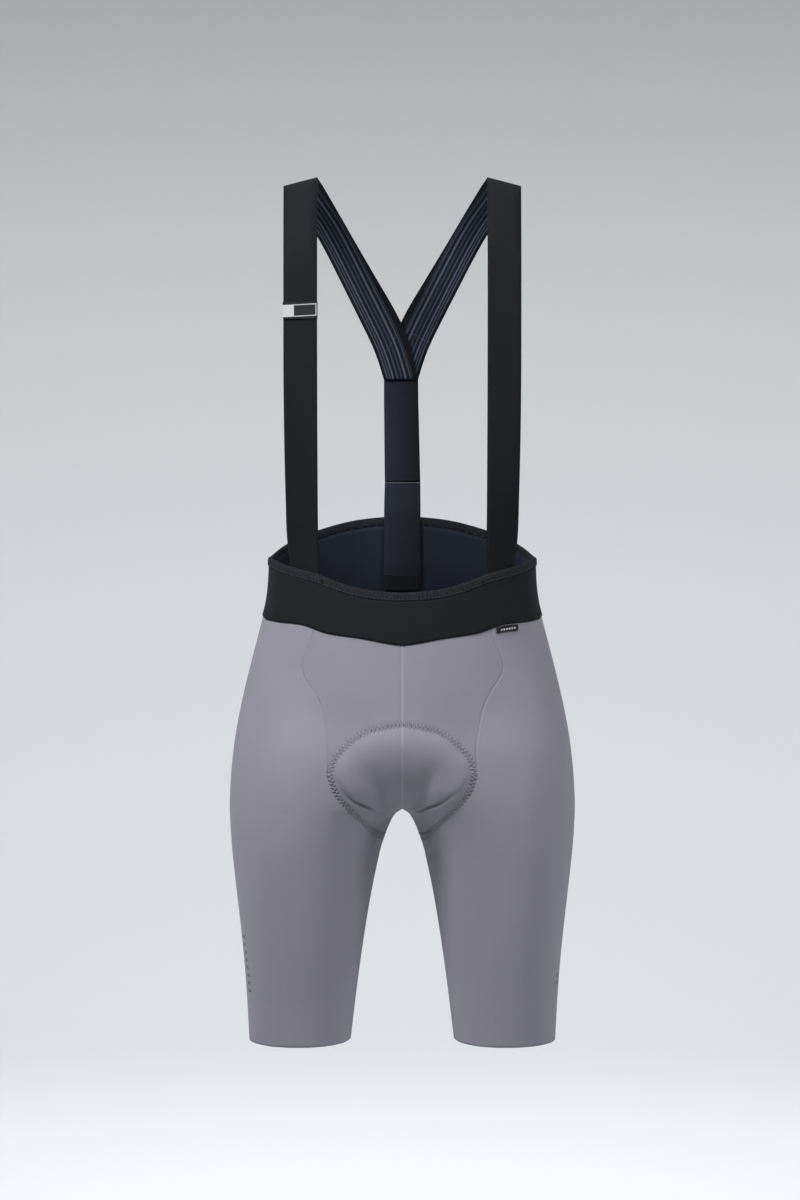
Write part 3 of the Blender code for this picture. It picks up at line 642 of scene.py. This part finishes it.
def knit_material(name, colour, marks=None):
    """Warp knit: fine wales and courses, a brushed bloom, and hardly any gloss."""
    made, shader, place = new_material(name)
    cloth = place.node("ShaderNodeUVMap")
    wales = (cloth.axis("X") * (math.tau / WALE)).sine()
    courses = (cloth.axis("Y") * (math.tau / COURSE)).sine()
    cloudy = place.noise(60 * MM, 3)
    grain = place.noise(0.9 * MM, 3)
    tone = cloudy * 0.16 + grain * 0.30 - 0.23 + wales * 0.03
    shown = (tone + 0.5).blend(toned(colour, 0.80), toned(colour, 1.22))
    if marks is not None:
        shown = marks(place).blend(shown, toned(colour, 0.45))
    height = wales * 0.3 + courses * 0.2 + grain * 1.5
    connect(shader, colour=shown, height=height, depth=0.09 * MM, roughness=grain * 0.16 + 0.62)
    shader.inputs["Specular IOR Level"].default_value = 0.22
    shader.inputs["Sheen Weight"].default_value = 0.10
    shader.inputs["Sheen Roughness"].default_value = 0.45
    return made


# Plain printed bars on the outer thighs: a column on the wearer's right, two on the left.
BAR_PITCH = 8.0 * MM
OUTER_THIGH = 120 * MM


def bars(place, low, high, front):
    """1 on small level bars between two heights and two places front to back, 0 elsewhere."""
    height = place.axis("Z") / BAR_PITCH
    rung = height.maths("FRACT", height)
    column = place.axis("Y").between(*front)
    outer = place.axis("X").size().between(OUTER_THIGH, 1)
    return rung.between(0.2, 0.62) * column * outer * place.axis("Z").between(low, high)


GREY = paint(152, 150, 162)
knits = {
    # The front panels' knit is the grey painted 5% darker, as painted shade: they face the camera,
    # away from the side lamps.
    "front_panel_right": knit_material("knit_front_painted_shade", toned(GREY, 0.95)),
    "leg_panel_right": knit_material(
        "knit_leg_right", GREY, lambda place: bars(place, -0.848, -0.786, (-0.036, -0.026))),
    "leg_panel_left": knit_material(
        "knit_leg_left", GREY, lambda place: bars(place, -0.840, -0.826, (-0.030, -0.022))),
}
knits["front_panel_left"] = knits["front_panel_right"]
knit_inside = knit_material("knit_inside", paint(128, 126, 137))
for name, panel in panels.items():
    leg_middle = math.copysign(LEG_MIDDLE, points_of(panel)[:, 0].mean())
    map_round(panel, 0 if name.startswith("front") else leg_middle)
    panel.data.materials.append(knits[name])
    panel.data.materials.append(knit_inside)
    thicken(panel, KNIT_WALL)
    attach(panel, "root")
    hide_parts(name)


# ---------------------------------------------------------------- flat seams
# The panels meet in flat seams: a narrow line of cover thread stands on the join.  The centre
# front and back seams show as a light line, the side seams hardly at all.
def sheet_of(name, rows, material, closed=False):
    """A sheet through rows of points: a flat grid moved onto them, mapped in metres."""
    across = len(rows[0]) - 1
    along = len(rows) - 1
    flat = bmesh.new()
    bmesh.ops.create_grid(flat, x_segments=across, y_segments=along, size=1)
    layer = flat.loops.layers.uv.new("cloth")
    run = np.cumsum([0] + [np.linalg.norm(b[across // 2] - a[across // 2])
                           for a, b in zip(rows, rows[1:])])
    width = np.linalg.norm(np.diff(rows[along // 2], axis=0), axis=1).sum()
    for vertex in flat.verts:
        column = round((vertex.co.x + 1) / 2 * across)
        row = round((vertex.co.y + 1) / 2 * along)
        for loop in vertex.link_loops:
            loop[layer].uv = (column / across * width, run[row])
        vertex.co = rows[row][column]
    if closed:
        bmesh.ops.remove_doubles(flat, verts=flat.verts, dist=1e-7)
    piece = new_piece(name, flat)
    piece.data.materials.append(material)
    return piece


CORD_STEP = 3 * MM
CORD_SINK = 0.12 * MM


def seam_cord(name, line, width, height, material):
    """A low rounded ridge of thread along a line on the knit."""
    count = max(8, int(length_of(line) / CORD_STEP))
    path = smooth_path(even_points(line, max(6, count // 4)), count)
    rows = []
    for before, point, after in zip(np.vstack([path[:1], path[:-1]]), path,
                                    np.vstack([path[1:], path[-1:]])):
        normal = shaped_knit.find_nearest(point)[1]
        tangent = Vector(after - before).normalized()
        side = tangent.cross(normal).normalized()
        feet = [shaped_knit.find_nearest(Vector(point) + side * width / 2 * way)[0]
                for way in (-1, 1)]
        spot = (feet[0] + feet[1]) / 2
        row = []
        for turn in np.linspace(0, math.pi, 7):
            out = normal * (height * math.sin(turn) - CORD_SINK)
            row.append(np.array(spot - side * (width / 2 * math.cos(turn)) + out))
        rows.append(row)
    return sheet_of(name, rows, material)


def thread_material(name, colour, pitch):
    """Twisted polyester thread: small slanting turns and a faint shine."""
    made, shader, place = new_material(name)
    cloth = place.node("ShaderNodeUVMap")
    twist = ((cloth.axis("Y") + cloth.axis("X") * 0.5) * (math.tau / pitch)).sine()
    shown = (twist * 0.5 + 0.5).blend(toned(colour, 0.82), toned(colour, 1.15))
    connect(shader, colour=shown, height=twist, depth=0.06 * MM)
    shader.inputs["Roughness"].default_value = 0.6
    shader.inputs["Specular IOR Level"].default_value = 0.3
    return made


seam_thread = thread_material("seam_thread", paint(168, 166, 178), 1.1 * MM)
quiet_thread = thread_material("quiet_thread", paint(154, 152, 164), 1.1 * MM)
seam_pieces = {name: [] for name in PANELS}
seam_pieces["front_panel_right"].append(
    seam_cord("centre_front_seam", centre_front, 1.9 * MM, 0.4 * MM, seam_thread))
seam_pieces["leg_panel_left"].append(
    seam_cord("centre_back_seam", centre_back, 1.5 * MM, 0.5 * MM, seam_thread))
# A leg's inseam is what its rim has near the middle plane, inside the leg and below the crotch.
INSEAM_NEAR = 0.6 * MM
INSEAM_WIDEST = 60 * MM
INSEAM_START = -660 * MM
for side in ("right", "left"):
    cords = seam_pieces["leg_panel_" + side]
    cords.append(
        seam_cord("side_seam_" + side, side_seams[side], 1.0 * MM, 0.2 * MM, quiet_thread))
    ring = rings["leg_panel_" + side]
    across, along, up = ring.T
    near = (np.abs(along) < INSEAM_NEAR) & (along <= 0)
    inseam = longest_run(ring, near & (np.abs(across) < INSEAM_WIDEST) & (up < INSEAM_START))
    cords.append(seam_cord("inseam_" + side, inseam, 1.5 * MM, 0.45 * MM, quiet_thread))


# ---------------------------------------------------------------- pad stitching
# The seat pad is sewn in from inside with a wide zigzag, which shows outside all round its edge.
ZIGZAG_HALF = 3.7 * MM
ZIGZAG_PITCH = 4.1 * MM
THREAD_RADIUS = 0.42 * MM
# A stitch lies on the cloth as far as this share of its reach, dips in at its end and comes
# back a little further along.
ZIGZAG_LYING = 0.62
LYING_LIFT = 0.75 * THREAD_RADIUS
DIPPED_LIFT = 0.1 * THREAD_RADIUS
ZIGZAG_STEP = 0.45 * MM


def steady_thread(name, places, outs, radius, material, sides=6):
    """A thread whose section keeps its turn by the outward directions given with its places."""
    rows = []
    for index, (place, out) in enumerate(zip(places, outs)):
        before = places[max(index - 1, 0)]
        after = places[min(index + 1, len(places) - 1)]
        way = (after - before).normalized()
        side = way.cross(out).normalized()
        up = side.cross(way)
        rows.append([np.array(place + (side * math.cos(turn) + up * math.sin(turn)) * radius)
                     for turn in np.linspace(0, math.tau, sides + 1)])
    return sheet_of(name, rows, material, closed=True)


half_stitches = int(length_of(pad_ring) / (ZIGZAG_PITCH / 2))
band = even_points(pad_ring, half_stitches)
stitch_places = []
stitch_outs = []
for index, point in enumerate(band):
    normal = shaped_knit.find_nearest(point)[1]
    way = Vector(band[min(index + 1, len(band) - 1)] - band[max(index - 1, 0)]).normalized()
    swing = ZIGZAG_HALF if index % 2 else -ZIGZAG_HALF
    for share, lift in ((ZIGZAG_LYING, LYING_LIFT), (1.0, DIPPED_LIFT)):
        side = way.cross(normal).normalized() * swing * share
        spot, out, _, _ = shaped_knit.find_nearest(Vector(point) + side)
        stitch_places.append(spot + out * lift)
        stitch_outs.append(out)
    stitch_places.append(stitch_places[-2] + way * ZIGZAG_STEP)
    stitch_outs.append(stitch_outs[-2])
zigzag = steady_thread("pad_zigzag", stitch_places, stitch_outs, THREAD_RADIUS, seam_thread)
seam_pieces["front_panel_right"].append(zigzag)
for name, panel in panels.items():
    for extra in seam_pieces[name]:
        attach(extra, "root")


# ---------------------------------------------------------------- seat pad
# A moulded foam pad faced with dark microfibre: raised wings, a centre channel and two curved
# ones, thin at its edge where it is sewn to the knit.
CHANNEL_DEPTH = 1.6 * MM
CENTRE_CHANNEL_HALF = 4 * MM
CURVED_CHANNEL_HALF = 3 * MM
# Each curved channel's distance from the middle at its nearest, how far behind the origin that
# is, and how it spreads away from there.
CURVED_CHANNEL_NEAR = 24 * MM
CURVED_CHANNEL_WAIST = 20 * MM
CURVED_CHANNEL_SPREAD = 0.10
# What lies deeper under the knit's face than this is the pad's inner side.
PAD_INNER_DEPTH = 5.0 * MM
PAD_UNDER_KNIT = KNIT_WALL + 0.4 * MM


def over_knit(point):
    """How far a point stands out from the knit's face, and the way out there."""
    spot, normal, _, _ = shaped_knit.find_nearest(point)
    return (Vector(point) - spot).dot(normal), normal


pad_mesh = welded("seat_pad")
square_up(pad_mesh)
pad = new_piece("seat_pad_foam", pad_mesh)
refine(pad, 2)
pad_points = points_of(pad)
inner_side = np.array([over_knit(point)[0] for point in pad_points]) < -PAD_INNER_DEPTH
across, along, _ = pad_points.T
channels = np.exp(-(across / CENTRE_CHANNEL_HALF) ** 2)
curved = CURVED_CHANNEL_NEAR + CURVED_CHANNEL_SPREAD * np.abs(along - CURVED_CHANNEL_WAIST)
channels += np.exp(-((np.abs(across) - curved) / CURVED_CHANNEL_HALF) ** 2)
move_points(pad, np.where(inner_side, -CHANNEL_DEPTH * channels, 0))
pad_points = points_of(pad)
for index, point in enumerate(pad_points):
    reach, normal = over_knit(point)
    if reach > -PAD_UNDER_KNIT:
        pad_points[index] = np.array(Vector(point) - normal * (reach + PAD_UNDER_KNIT))
pad.data.vertices.foreach_set("co", pad_points.ravel())
pad.data.update()
PORE_PITCH = 3.2 * MM
PORE_SHARE = 0.24
foam, foam_shader, place = new_material("pad_microfibre")
holes = place.node("ShaderNodeTexVoronoi", {"feature": "F1"},
                   {"Vector": place, "Scale": 1 / PORE_PITCH})
pores = holes.maths("LESS_THAN", holes, PORE_SHARE)
fuzz = place.noise(0.8 * MM, 3)
tone = fuzz * 0.6 + place.noise(30 * MM) * 0.4
# The pores are painted darker, as painted shade in their hollows, besides being sunk by the bump.
shown = (tone - pores * 0.4).blend(paint(30, 33, 40), paint(62, 66, 78))
connect(foam_shader, colour=shown, height=fuzz - pores, depth=0.2 * MM, roughness=fuzz * 0.2 + 0.7)
foam_shader.inputs["Specular IOR Level"].default_value = 0.2
pad.data.materials.append(foam)
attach(pad, "root")
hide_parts("seat_pad")


# ---------------------------------------------------------------- waist yoke
# A deep waistband in two pieces of smooth compressive knit, black outside and navy inside, laid
# over the panels' top edge and held by a row of fine stitches.
YOKE_WALL = 1.8 * MM
YOKE_RIB = 0.6 * MM


def fine_knit(name, colour):
    """Dense smooth knit: fine level ribs, a cloudy tone, and hardly any shine."""
    made, shader, place = new_material(name)
    grain = place.noise(0.7 * MM, 3, (1, 1, 0.5))
    cloudy = place.noise(45 * MM, 2)
    ribs = (place.axis("Z") * (math.tau / YOKE_RIB)).sine()
    tone = grain * 0.45 + cloudy * 0.35 + ribs * 0.05 + 0.1
    shown = tone.blend(toned(colour, 0.72), toned(colour, 1.30))
    connect(shader, colour=shown, height=grain + ribs * 0.4, depth=0.08 * MM,
            roughness=grain * 0.2 + 0.62)
    shader.inputs["Specular IOR Level"].default_value = 0.12
    shader.inputs["Sheen Weight"].default_value = 0.015
    return made


yoke_outside = fine_knit("yoke_outside", paint(29, 30, 34))
yoke_inside = fine_knit("yoke_inside", paint(36, 41, 54))
yokes = {}
for name in ("yoke_front", "yoke_back"):
    yokes[name] = outer_face(name, name + "_cloth")
    refine(yokes[name], 2)
yoke_rings = {name: boundary_ring(yoke) for name, yoke in yokes.items()}
for name, yoke in yokes.items():
    yoke.data.materials.append(yoke_outside)
    yoke.data.materials.append(yoke_inside)
yoke_outer = surface_of(yokes.values())
for name, yoke in yokes.items():
    thicken(yoke, YOKE_WALL)
    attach(yoke, "root")
    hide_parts(name)


# ---------------------------------------------------------------- waist binding
# Heather elastic tape folded over the yoke's top edge, stitched along its lower edge and tacked
# down with a short upright bar on each side of the front.
TAPE_RIB = 1.0 * MM
TAPE_SWELL = 0.4 * MM
tape, tape_shader, place = new_material("heather_tape")
flecks = place.noise(1.3 * MM, 2, (0.6, 0.6, 1.6))
specks = place.noise(0.7 * MM, 3)
tone = (flecks - 0.5) * 2.6 + (specks - 0.5) * 1.6 + 0.5
shown = tone.blend(paint(19, 20, 24), paint(49, 51, 57))
ribs = (place.axis("Z") * (math.tau / TAPE_RIB)).sine()
connect(tape_shader, colour=shown, height=specks + flecks * 0.5 + ribs * 0.3, depth=0.14 * MM,
        roughness=specks * 0.2 + 0.7)
tape_shader.inputs["Specular IOR Level"].default_value = 0.12
tape_shader.inputs["Sheen Weight"].default_value = 0.02
binding_mesh = welded("waist_binding")
square_up(binding_mesh)
binding = new_piece("waist_binding_tape", binding_mesh)
refine(binding, 2)
move_points(binding, np.full(len(binding.data.vertices), TAPE_SWELL))
binding.data.materials.append(tape)
binding_tree = surface_of([binding])
binding_low = points_of(binding)[:, 2].min()
binding_high = points_of(binding)[:, 2].max()
EDGE_FEEL = 0.5 * MM


def binding_edge(turn):
    """The height of the binding's lower edge in one direction from the waist's middle."""
    way = Vector((math.cos(turn), math.sin(turn), 0))
    for height in np.arange(binding_low, binding_high, EDGE_FEEL):
        if binding_tree.ray_cast(way + Vector((0, 0, height)), -way)[0]:
            return height
    return binding_high


edge_turns = np.linspace(-math.pi, math.pi, 145)
edge_heights = [binding_edge(turn) for turn in edge_turns]


def stitch_row(name, tree, places, stitch, material):
    """Separate stitches, of one length, gap and radius, along a path on the cloth, as one mesh."""
    length, gap, radius = stitch
    path = np.asarray(places)
    count = int(length_of(path) / (length + gap))
    sample = even_points(path, count * 4 + 1)
    row = bmesh.new()
    for index in range(count):
        start, end = Vector(sample[index * 4]), Vector(sample[index * 4 + 3])
        spot, out, _, _ = tree.find_nearest((start + end) / 2)
        way = (end - start).normalized()
        side = way.cross(out).normalized()
        ball = bmesh.ops.create_uvsphere(row, u_segments=6, v_segments=5, radius=1)
        for vertex in ball["verts"]:
            x, y, z = vertex.co
            vertex.co = (spot + out * (radius * 0.35 + radius * x) + side * radius * y
                         + way * (length / 2 * z))
    piece = new_piece(name, row)
    piece.data.materials.append(material)
    return piece


tape_thread = thread_material("tape_thread", paint(74, 76, 82), 0.9 * MM)
dark_thread = thread_material("dark_thread", paint(24, 25, 29), 0.9 * MM)
BINDING_STITCH = (2.6 * MM, 1.1 * MM, 0.28 * MM)
BINDING_LINE = 1.5 * MM
binding_extras = []
for name, from_outside in (("binding_stitches_out", True), ("binding_stitches_in", False)):
    line = []
    for turn in np.linspace(-math.pi, math.pi, 400):
        height = np.interp(turn, edge_turns, edge_heights) + BINDING_LINE
        way = Vector((math.cos(turn), math.sin(turn), 0))
        start = (way if from_outside else way * 0.01) + Vector((0, 0, height))
        hit = binding_tree.ray_cast(start, -way if from_outside else way)[0]
        if hit:
            line.append(np.array(hit))
    binding_extras.append(stitch_row(name, binding_tree, line, BINDING_STITCH, tape_thread))
# Bar tacks: (across, height) of each, how it reaches down and up, its radius and its lift
TACKS = ((-81.7, -421.5), (82.6, -421.5))
TACK_REACH = (-2.6, 0, 2.4)
TACK_RADIUS = 0.8 * MM
TACK_LIFT = 0.1 * MM
for index, (across, height) in enumerate(TACKS):
    ends = [on_cloth(binding_tree, "front", across, height + shift) for shift in TACK_REACH]
    outs = [binding_tree.find_nearest(end)[1] for end in ends]
    places = [Vector(end) + out * TACK_LIFT for end, out in zip(ends, outs)]
    binding_extras.append(
        steady_thread(f"bar_tack_{index}", places, outs, TACK_RADIUS, dark_thread, 8))
for extra in [binding] + binding_extras:
    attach(extra, "root")
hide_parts("waist_binding")


# ---------------------------------------------------------------- yoke stitching
# A row of fine dark stitches just above the yoke's lower edge, outside, holds it on the panels.
# The back yoke is the same cut as the front one but stands higher, so more of it shows.
def distances(ring, place):
    """How far each point of a ring is from a place given in millimetres."""
    return np.linalg.norm(ring - np.array(place) * MM, axis=1)


def walk(ring, first, last, past):
    """The stretch of a ring from one place to another that passes a third."""
    start = int(np.argmin(distances(ring, first)))
    end = int(np.argmin(distances(ring, last)))
    forth = np.roll(ring, -start, axis=0)[:(end - start) % len(ring) + 1]
    back = np.roll(ring[::-1], start + 1, axis=0)[:(start - end) % len(ring) + 1]
    return min((forth, back), key=lambda way: distances(way, past).min())


YOKE_STITCH = (2.4 * MM, 0.9 * MM, 0.2 * MM)
YOKE_LINE = 1.6 * MM
# The yoke's lower edge runs from one side seam to the other, past these middles.
LOWER_CORNERS = ((-146.9, 0, -454.1), (146.9, 0, -454.1))
LOWER_MIDDLES = {"yoke_front": (0, -105, -488), "yoke_back": (0, 105, -446)}
yoke_stitches = {}
for name, middle in LOWER_MIDDLES.items():
    line = walk(yoke_rings[name], *LOWER_CORNERS, middle) + np.array((0, 0, YOKE_LINE))
    yoke_stitches[name] = stitch_row(name + "_stitches", yoke_outer, line, YOKE_STITCH, dark_thread)
for name, yoke in yokes.items():
    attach(yoke_stitches[name], "root")


# ---------------------------------------------------------------- braces
# Flat woven elastic: finely ribbed black outside, navy inside with uneven blue-grey lengthwise
# stripes.  Each runs from inside the front yoke over a shoulder to the Y behind.
BRACE_WIDTH = 35.0 * MM
STRAP_WALL = 1.3 * MM
RIB = 1.1 * MM
PICK_OUTSIDE = 0.8 * MM
PICK_INSIDE = 0.9 * MM
EDGE_POINTS = 120
# Stripes inside, from the outer edge inwards: middle, half width, both in shares of the brace's
# width, and strength
STRIPES = (
    (0.116, 0.030, 0.34),
    (0.200, 0.030, 0.26),
    (0.290, 0.036, 0.42),
    (0.427, 0.034, 0.24),
    (0.550, 0.045, 0.14),
    (0.675, 0.045, 0.44),
    (0.820, 0.032, 0.27),
    (0.880, 0.025, 0.10),
)


def elastic_outside(name, colour):
    """Woven elastic seen from outside: fine lengthwise ribs crossed by the weft."""
    made, shader, place = new_material(name)
    cloth = place.node("ShaderNodeUVMap")
    ribs = (cloth.axis("X") * (math.tau / RIB)).sine()
    picks = (cloth.axis("Y") * (math.tau / PICK_OUTSIDE)).sine()
    grain = place.noise(0.8 * MM, 3)
    tone = grain * 0.5 + ribs * 0.08 + picks * 0.06 + place.noise(30 * MM) * 0.25 + 0.1
    shown = tone.blend(toned(colour, 0.7), toned(colour, 1.3))
    connect(shader, colour=shown, height=ribs * 0.6 + picks * 0.4 + grain * 0.5,
            depth=0.12 * MM, roughness=grain * 0.2 + 0.6)
    shader.inputs["Specular IOR Level"].default_value = 0.13
    shader.inputs["Sheen Weight"].default_value = 0.015
    return made


def elastic_inside(name):
    """Woven elastic seen from inside: navy with thin uneven blue-grey stripes along it."""
    made, shader, place = new_material(name)
    cloth = place.node("ShaderNodeUVMap")
    share = cloth.axis("X") / BRACE_WIDTH
    fleck = cloth.noise(1.0 * MM, 2, (0.9, 0.26, 0.001))
    light = sum((1 - (share - middle).size() / half).most(0) * strength
                for middle, half, strength in STRIPES)
    light = light * (fleck * 0.9 + 0.5)
    edge = (share - 0.5).size().between(0.42, 1.0)
    ground_colour = edge.blend(paint(17, 22, 33), paint(12, 15, 21))
    shown = light.blend(ground_colour, paint(132, 147, 168))
    picks = (cloth.axis("Y") * (math.tau / PICK_INSIDE)).sine()
    height = picks * 0.4 + light + fleck * 0.4
    connect(shader, colour=shown, height=height, depth=0.12 * MM, roughness=fleck * 0.2 + 0.6)
    shader.inputs["Specular IOR Level"].default_value = 0.14
    return made


def map_from_edge(piece, edge_path):
    """A UV map in metres: across from an edge of the strap, and along it."""
    layer = piece.data.uv_layers.new(name="cloth")
    gaps, shares = distance_along(points_of(piece), even_points(edge_path, EDGE_POINTS))
    total = length_of(edge_path)
    for loop in piece.data.loops:
        layer.data[loop.index].uv = (gaps[loop.vertex_index], shares[loop.vertex_index] * total)


brace_outside = elastic_outside("brace_outside", paint(27, 28, 32))
brace_inside = elastic_inside("brace_inside")
# For each brace, its outer edge's foot in front, its end at the Y, and a place that it passes
BRACES = {
    "strap_right": ((-116.2, -58.0, -446.0), (-20.0, 98.0, -199.9), (-118, -60, -100)),
    "strap_left": ((116.2, -58.0, -446.0), (17.2, 99.6, -199.9), (118, -60, -100)),
}
# A stitched line across the inner face of each brace at the Y: (across, height) from end to end
Y_STITCHES = {
    "strap_right": ((-5.8, -151.5), (-17.7, -170.0)),
    "strap_left": ((9.4, -149.4), (30.0, -160.2)),
}
brace_thread = thread_material("brace_thread", paint(88, 98, 116), 0.9 * MM)
Y_STITCH = (2.0 * MM, 0.8 * MM, 0.25 * MM)
for name, (bottom, end, past) in BRACES.items():
    brace = outer_face(name, name + "_elastic")
    refine(brace, 2)
    outer_edge = walk(boundary_ring(brace), bottom, end, past)
    map_from_edge(brace, outer_edge)
    brace.data.materials.append(brace_outside)
    brace.data.materials.append(brace_inside)
    thicken(brace, STRAP_WALL)
    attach(brace, "root")
    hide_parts(name)
    inner_face = surface_of([brace])
    ends = [on_cloth(inner_face, "front", *mark) for mark in Y_STITCHES[name]]
    line = [inner_face.find_nearest(point)[0] for point in even_points(np.array(ends), 12)]
    stitches = stitch_row(name + "_y_stitches", inner_face, line, Y_STITCH, brace_thread)
    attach(stitches, "root")


# ---------------------------------------------------------------- back strap
# Two lengths of plain navy elastic: the upper one takes both braces, the lower one overlaps it
# with two rows of stitches and ends inside the back yoke.
STRAP_END = -412 * MM
STRAP_WIDTH = 36 * MM


def navy_elastic(name, at_right, at_left):
    """Plain elastic with painted shade darkening it from the wearer's right to the left, dark below
    its end seam.
    """
    made, shader, place = new_material(name)
    grain = place.noise(0.8 * MM, 3)
    picks = (place.axis("Z") * (math.tau / PICK_INSIDE)).sine()
    # Painted shade: the plain elastic is painted darker towards the wearer's left.
    painted_shade_slope = (place.axis("X") / STRAP_WIDTH + 0.5 + (grain - 0.5) * 0.5).most(0)
    below = place.axis("Z").between(-1, STRAP_END)
    shown = below.blend(painted_shade_slope.blend(at_right, at_left), paint(16, 19, 27))
    connect(shader, colour=shown, height=picks * 0.5 + grain, depth=0.1 * MM,
            roughness=grain * 0.2 + 0.6)
    shader.inputs["Specular IOR Level"].default_value = 0.22
    return made


# The second colour of each is the painted shade on the wearer's left side of the strap.
upper_navy = navy_elastic("upper_navy", paint(29, 34, 49), paint(9, 11, 17))
lower_navy = navy_elastic("lower_navy", paint(32, 37, 50), paint(23, 27, 38))
back_straps = {}
for name in ("back_strap_upper", "back_strap_lower"):
    strap = outer_face(name, name + "_elastic")
    refine(strap, 3, "SIMPLE")
    strap.data.materials.append(upper_navy if name.endswith("upper") else lower_navy)
    thicken(strap, STRAP_WALL)
    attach(strap, "root")
    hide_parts(name)
    back_straps[name] = strap
navy_thread = thread_material("navy_thread", paint(46, 52, 66), 0.9 * MM)
strap_tree = surface_of(back_straps.values())
STRAP_STITCH = (2.2 * MM, 0.7 * MM, 0.25 * MM)
# Rows of stitches across the straps: strap, height, half length
STRAP_ROWS = (
    ("back_strap_upper", -308.7, 17.5),
    ("back_strap_lower", -317.6, 17.5),
    ("back_strap_lower", -412.0, 18.0),
)
strap_extras = {name: [] for name in back_straps}
for name, height, half in STRAP_ROWS:
    for side in ("front", "back"):
        line = [on_cloth(strap_tree, side, across, height)
                for across in np.linspace(-half, half, 15)]
        strap_extras[name].append(stitch_row(f"{name}_row_{side}_{-int(height)}", strap_tree, line,
                                             STRAP_STITCH, navy_thread))
for name, strap in back_straps.items():
    for extra in strap_extras[name]:
        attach(extra, "root")


# ---------------------------------------------------------------- labels
# A woven label round the wearer's right brace and a folded tab at the yoke's lower edge on the
# left; the label carries plain white blocks, the tab a row of dashes.
LABEL_WEAVE = 0.45 * MM
# Middle across and up, half width and half height, and how far it rises along its length
LABELS = {
    "strap_label": (-104 * MM, -144.1 * MM, 17.8 * MM, 6.9 * MM, 0.052),
    "waist_tab": (108.5 * MM, -468.4 * MM, 8.5 * MM, 1.1 * MM, 0.15),
}


def label_blocks(across, level):
    """A white end block and a thin white frame beside it."""
    framed = across.between(-0.42, 0.93)
    frame_sides = framed * (1 - across.between(-0.36, 0.88))
    frame_edges = framed * (1 - level.between(-0.78, 0.78))
    shown = across.between(-1.1, -0.42).most(frame_sides).most(frame_edges)
    return shown * level.between(-0.9, 0.9)


def tab_dashes(across, level):
    """A short row of white dashes."""
    dash = across.maths("FRACT", across * 3.0)
    return dash.between(0.15, 0.8) * level.between(-0.8, 0.8) * across.between(-0.9, 0.9)


for name, (middle, height, half_width, half_height, climb) in LABELS.items():
    label = new_piece(name + "_woven", welded(name), smooth=False)
    woven, woven_shader, place = new_material(name + "_weave")
    weave = (place.axis("Z") * (math.tau / LABEL_WEAVE)).sine()
    grain = place.noise(0.6 * MM, 2)
    beside = place.axis("X") - middle
    level = (place.axis("Z") - height - beside * climb) / half_height
    pattern = label_blocks if name == "strap_label" else tab_dashes
    white = pattern(beside / half_width, level)
    tone = white * (grain * 0.2 + 0.8)
    connect(woven_shader, colour=tone.blend(paint(18, 18, 20), paint(222, 223, 226)),
            height=weave + grain, depth=0.06 * MM)
    woven_shader.inputs["Roughness"].default_value = 0.7
    label.data.materials.append(woven)
    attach(label, "root")
    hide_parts(name)
